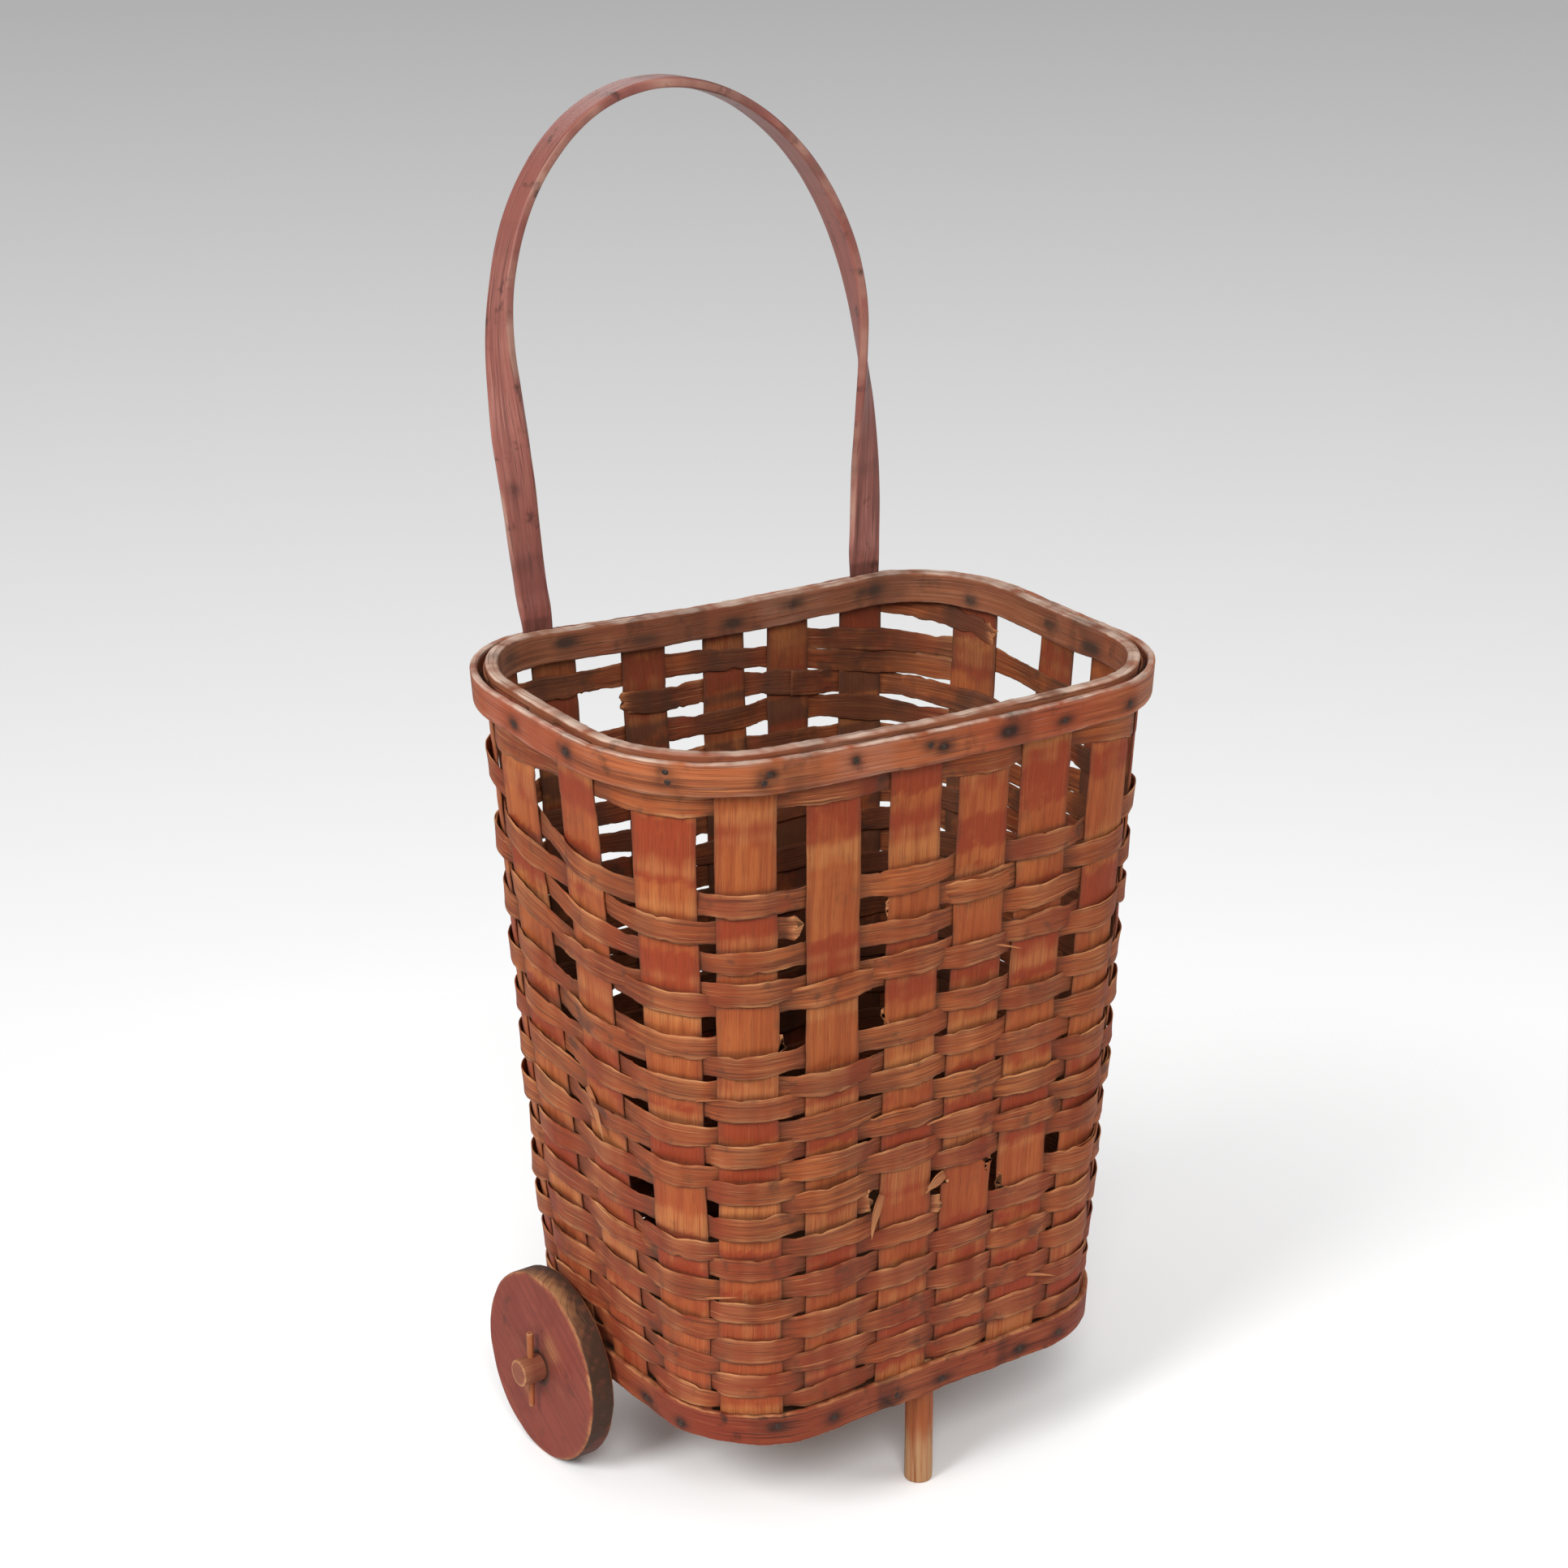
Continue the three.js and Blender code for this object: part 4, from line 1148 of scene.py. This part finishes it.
wheelWood = woodMaterial("wheelWood", wheelLook)


def boxOf(name):
    low, high = (np.array(corner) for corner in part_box(name))
    return low, high, (low + high) / 2


# Grain of a sawn board runs straight across it: along one direction in the board's plane, and across it
def flatGrain(piece, centre, angle):
    mesh = piece.data
    spots = np.zeros(len(mesh.vertices) * 3, np.float32)
    mesh.vertices.foreach_get("co", spots)
    spots = spots.reshape(-1, 3) - centre
    along = spots[:, 1] * np.cos(angle) + spots[:, 2] * np.sin(angle)
    across = -spots[:, 1] * np.sin(angle) + spots[:, 2] * np.cos(angle) + 0.3 * spots[:, 0]
    corners = np.zeros(len(mesh.loops), np.int32)
    mesh.loops.foreach_get("vertex_index", corners)
    grain = np.stack([along + grainShear * across, across], 1)[corners].astype(np.float32)
    mesh.uv_layers["grain"].data.foreach_set("uv", grain.reshape(-1))


# A bell curve of the distance from a middle, in the given spread
def bell(value, middle, spread):
    return np.exp(-((value - middle) / spread) ** 2)


# A wheel's points: round the axle by stations, and round the section by corners from the outer face's bore
# over the tread to the inner face's bore
def buildWheel(word, side):
    low, high, centre = boxOf(f"wheel_{word}")
    half, radius = (high[0] - low[0]) / 2, (high[2] - low[2]) / 2
    edge = wheels["edge"]
    arc = np.linspace(0, np.pi / 2, 6)
    face = np.linspace(wheels["bore"], radius - edge, wheels["facePoints"])[:-1]
    tread = np.linspace(half - edge, -half + edge, wheels["treadPoints"])[1:-1]
    radii = np.concatenate([face, radius - edge + edge * np.sin(arc), np.full(len(tread), radius),
                            radius - edge + edge * np.cos(arc), face[::-1]])
    places = np.concatenate([np.full(len(face), half), half - edge + edge * np.cos(arc), tread,
                             -half + edge - edge * np.sin(arc), np.full(len(face), -half)])
    spin = np.linspace(0, 2 * np.pi, wheels["segments"], endpoint=False)[:, None]
    share = spin / (2 * np.pi)
    outOfRound = np.abs(wheels["flats"] * wander(share, 31 + side, 3, 5, True))
    ring = radii - outOfRound * smooth(radii, 0.05, radius)
    x = centre[0] + side * places + 0 * spin
    points = np.stack([x, centre[1] + ring * np.cos(spin), centre[2] + ring * np.sin(spin)], -1)
    outerFace = places > half - wheels["faceDepth"]
    pale = bell(radii, *wheels["paleRing"]) * outerFace * smooth(wander(share, 35, 2, 3, True), 0.0, 0.9)
    rubs = wheels["edgeWear"]
    edgeLine = bell(radii, radius, rubs) * (np.abs(np.abs(places) - half) < 1.5 * rubs)
    isTread = (np.abs(places) < half - rubs) & (radii > radius - rubs)
    # Painted highlight along the top of the tread, carried in the wear mark
    topWearAndHighlight = bell(spin, *wheels["topWearAndHighlight"]) * isTread * smooth(places, *wheels["topHighlightAcross"])
    wear = 0.35 * pale + (0.55 + 0.45 * wander(share, 37, 9, 4, True)) * edgeLine + 1.1 * topWearAndHighlight
    mottle = 0.9 + 0.3 * wander(share, 39, 31, 4, True) * np.cos(places * wheels["mottle"])
    # A dark ring of painted shade and stain round the axle stub on the outer face
    stubShadeAndStain = 0.32 * outerFace * bell(radii, *wheels["darkRing"]) * (0.7 + 0.6 * wander(share, 41, 3, 3, True))
    # Dirt on the tread, less under the painted highlight, and painted shade and stain round the bore
    dirtAndShade = 1.25 * isTread * mottle * (1 - 0.7 * topWearAndHighlight) + 0.8 * (radii < wheels["boreShadeAndStain"]) + stubShadeAndStain
    flip = slice(None, None, side)
    marks = {"stain": 0.5, "wear": wear[flip], "dirtAndShade": dirtAndShade[flip]}
    patch = (points[flip], np.zeros(wheels["segments"] + 1), looped(radii), marks)
    piece = skin(f"wheelDisc{word.title()}", [patch], True, wheelWood)
    flatGrain(piece, centre, wheels["grain"])
    settle(piece, f"wheel_{word}", "wheel_wood", f"wheel_{word}")


for word, side in (("left", -1), ("right", 1)):
    buildWheel(word, side)

# Pegs: the axle, its linchpins and the leg, with eased ends and a slightly uneven, whittled surface. The leg
# is worn bare up to a share of its height.
pegs = {
    "stations": 60,
    "tipWear": 0.0012,
    "axle": {"ease": 0.0009, "taper": 0.0, "segments": 48, "bare": 0,
             "flatHeight": 0.0062, "flatReach": 0.1735},
    "linchpin": {"ease": 0.0006, "taper": 0.2, "segments": 24, "bare": 0},
    "leg": {"ease": 0.0015, "taper": 0.0, "segments": 48, "bare": 0.42},
}
pegLook = {
    **splintGrain,
    "dark": (0.235, 0.058, 0.018),
    "main": (0.345, 0.097, 0.031),
    "light": (0.455, 0.162, 0.058),
    "stain": (0.27, 0.063, 0.021),
    "worn": (0.42, 0.238, 0.115),
    "dirtAndShade": (0.09, 0.034, 0.017),
    "roughness": (0.5, 0.75),
    "pores": 0.3,
    "fibres": 0.15,
    "smudges": 0.3,
}
axleLook = {
    **pegLook,
    "dark": (0.17, 0.042, 0.026),
    "main": (0.23, 0.058, 0.034),
    "light": (0.28, 0.084, 0.048),
    "stain": (0.18, 0.042, 0.026),
    "worn": (0.50, 0.25, 0.11),
    "pores": 0.12,
    "fines": 0.4,
}
pegWood = woodMaterial("pegWood", pegLook)
axleWood = woodMaterial("axleWood", axleLook)
axisX, axisZ = np.array([1.0, 0, 0]), np.array([0, 0, 1.0])


# A peg's points: along its axis by stations and round it by corners
def pegPatch(axis, side, radius, ends, centre, size, seed, extra=()):
    length, ease, bare = ends[1] - ends[0], size["ease"], size["bare"]
    arc = np.linspace(0, np.pi / 2, 5)
    even = np.linspace(ends[0] + ease, ends[1] - ease, pegs["stations"])[1:-1]
    body = np.sort(np.concatenate([even, extra]))
    eased = radius - ease
    cap = eased * np.array([0.3, 0.85])
    places = np.concatenate([np.full(2, ends[0]), ends[0] + ease * (1 - np.cos(arc)), body,
                             ends[1] - ease * (1 - np.sin(arc)), np.full(2, ends[1])])
    radii = np.concatenate([cap, eased + ease * np.sin(arc), np.full(len(body), radius),
                            eased + ease * np.cos(arc), cap[::-1]])
    share = (places - ends[0]) / length
    spin = np.linspace(0, 2 * np.pi, size["segments"], endpoint=False)
    roundShare = spin / (2 * np.pi)
    facets = 1 + 0.012 * wander(roundShare, seed, 3, 4, True) + 0.008 * wander(share, seed + 1, 3)[:, None]
    ring = radii[:, None] * np.minimum(facets, 1) * (1 - size["taper"] * (1 - share))[:, None]
    flat = np.cos(spin)[:, None] * side + np.sin(spin)[:, None] * np.cross(axis, side)
    points = centre + places[:, None, None] * axis + ring[..., None] * flat
    fromEnd = np.minimum(places - ends[0], ends[1] - places)
    tip = np.exp(-fromEnd / pegs["tipWear"]) * smooth(radii, 0.85 * eased, eased)
    edge = bare + 0.10 * wander(roundShare, seed + 2, 2, 3, True)
    worn = 0.95 * smooth(share[:, None], edge + 0.12, edge - 0.16) if bare else 0.10
    wear = np.maximum(worn + 0 * ring, 0.8 * tip[:, None])
    patches = smooth(wander(share, seed + 3, 2, 2), 0.2, 1.0)[:, None]
    dirtAndShade = 0.10 + 0.4 * patches * smooth(wander(roundShare, seed + 4, 2, 2, True), 0.0, 0.9)
    marks = {"stain": 0.35, "wear": wear, "dirtAndShade": dirtAndShade}
    return points, places + seed, looped(spin) * radius, marks


# The axle is planed flat on top between its shoulders, where it lies under the blocks
def buildAxle():
    low, high, middle = boxOf("axle")
    size = pegs["axle"]
    shoulders = np.array([-1.0, -0.9995, 0.9995, 1.0]) * size["flatReach"]
    centre = np.array([0, middle[1], middle[2]])
    ends, radius = (low[0], high[0]), (high[2] - low[2]) / 2
    points, along, around, marks = pegPatch(axisX, axisZ, radius, ends, centre, size, 61, shoulders)
    planed = (np.abs(points[..., 0]) < size["flatReach"]) & (points[..., 2] > middle[2] + size["flatHeight"])
    points[..., 2] = np.where(planed, middle[2] + size["flatHeight"], points[..., 2])
    piece = skin("axlePeg", [(points, along, around, marks)], False, axleWood)
    settle(piece, "basket", "axle_wood", "axle")


def buildUprightPeg(name, nodeName, slot, size, seed):
    low, high, middle = boxOf(nodeName)
    centre = np.array([middle[0], middle[1], 0])
    patch = pegPatch(axisZ, axisX, (high[0] - low[0]) / 2, (low[2], high[2]), centre, size, seed)
    settle(skin(name, [patch], False, pegWood), "basket", slot, nodeName)


buildAxle()
for word, seed in (("left", 63), ("right", 65)):
    buildUprightPeg(f"linchpinPeg{word.title()}", f"linchpin_{word}", "axle_wood", pegs["linchpin"], seed)
buildUprightPeg("legPeg", "leg", "leg_wood", pegs["leg"], 67)
print("stage: wheels, axle and leg")

# Stage: a pale floor that fades into the background, and soft light at a plain level
stageLook = {
    "floor": (0.98, 0.98, 0.98),
    "floorHalf": 2.0,
    "floorRoughness": 0.9,
    "fadeStart": 0.35,
    "fadeEnd": 1.0,
    "top": (0.44, 0.44, 0.44),
    "bottom": (0.985, 0.985, 0.985),
    "greyAt": -0.098,
    "whiteAt": -0.392,
    "ambient": 0.50,
    "aim": (0, 0, 0.4),
    "lights": {
        "keyLight": {"place": (-1.3, -2.2, 2.3), "size": 1.2, "power": 42},
        "leftLight": {"place": (-2.5, -0.5, 2.0), "size": 1.3, "power": 66},
        "fillLight": {"place": (2.0, -1.8, 1.4), "size": 1.6, "power": 14},
        "backLight": {"place": (0.6, 2.2, 2.0), "size": 1.6, "power": 14},
    },
}


def buildFloor():
    half = stageLook["floorHalf"]
    corners = [(-half, -half, 0), (half, -half, 0), (half, half, 0), (-half, half, 0)]
    mesh = bpy.data.meshes.new("floor")
    mesh.from_pydata(corners, [], [(0, 1, 2, 3)])
    material = bpy.data.materials.new("paleFloor")
    material.use_nodes = True
    tree = material.node_tree
    shader = tree.nodes["Principled BSDF"]
    shader.inputs["Base Color"].default_value = (*stageLook["floor"], 1)
    shader.inputs["Roughness"].default_value = stageLook["floorRoughness"]
    shader.inputs["Specular IOR Level"].default_value = 0
    distance = node(tree, "ShaderNodeVectorMath", operation="LENGTH")
    link(tree, node(tree, "ShaderNodeTexCoord").outputs["Object"], distance.inputs[0])
    faded = ramp(tree, distance.outputs["Value"], stageLook["fadeStart"], stageLook["fadeEnd"])
    clear = node(tree, "ShaderNodeBsdfTransparent")
    surface = tree.nodes["Material Output"].inputs["Surface"]
    mixShaders(tree, faded, shader.outputs[0], clear.outputs[0], surface)
    mesh.materials.append(material)
    floor = bpy.data.objects.new("floor", mesh)
    scene.collection.objects.link(floor)


def addLight(name, place, size, power):
    lamp = bpy.data.lights.new(name, "AREA")
    lamp.shape = "DISK"
    lamp.size = size
    lamp.energy = power
    holder = bpy.data.objects.new(name, lamp)
    holder.location = place
    holder.rotation_euler = (Vector(stageLook["aim"]) - Vector(place)).to_track_quat("-Z", "Y").to_euler()
    scene.collection.objects.link(holder)


# The world lights evenly, and shows a grey that pales downwards, as behind the photographed cart
def buildWorld():
    world = bpy.data.worlds.new("studio")
    world.use_nodes = True
    tree = world.node_tree
    back = tree.nodes["Background"]
    back.inputs["Color"].default_value = (1, 1, 1, 1)
    back.inputs["Strength"].default_value = stageLook["ambient"]
    shown = node(tree, "ShaderNodeBackground")
    way = node(tree, "ShaderNodeSeparateXYZ")
    link(tree, node(tree, "ShaderNodeTexCoord").outputs["Generated"], way.inputs[0])
    paler = ramp(tree, way.outputs["Z"], stageLook["greyAt"], stageLook["whiteAt"], "LINEAR")
    colour = blendColours(tree, paler, stageLook["top"], stageLook["bottom"])
    link(tree, colour, shown.inputs["Color"])
    path = node(tree, "ShaderNodeLightPath").outputs
    seen = mathOf(tree, path["Is Camera Ray"], path["Is Glossy Ray"], "ADD")
    seen = mathOf(tree, seen, path["Is Transmission Ray"], "ADD")
    mixShaders(tree, seen, back.outputs[0], shown.outputs[0], tree.nodes["World Output"].inputs["Surface"])
    scene.world = world


buildFloor()
buildWorld()
for name, lamp in stageLook["lights"].items():
    addLight(name, lamp["place"], lamp["size"], lamp["power"])
scene.view_settings.view_transform = "Standard"
print("stage: light and floor")
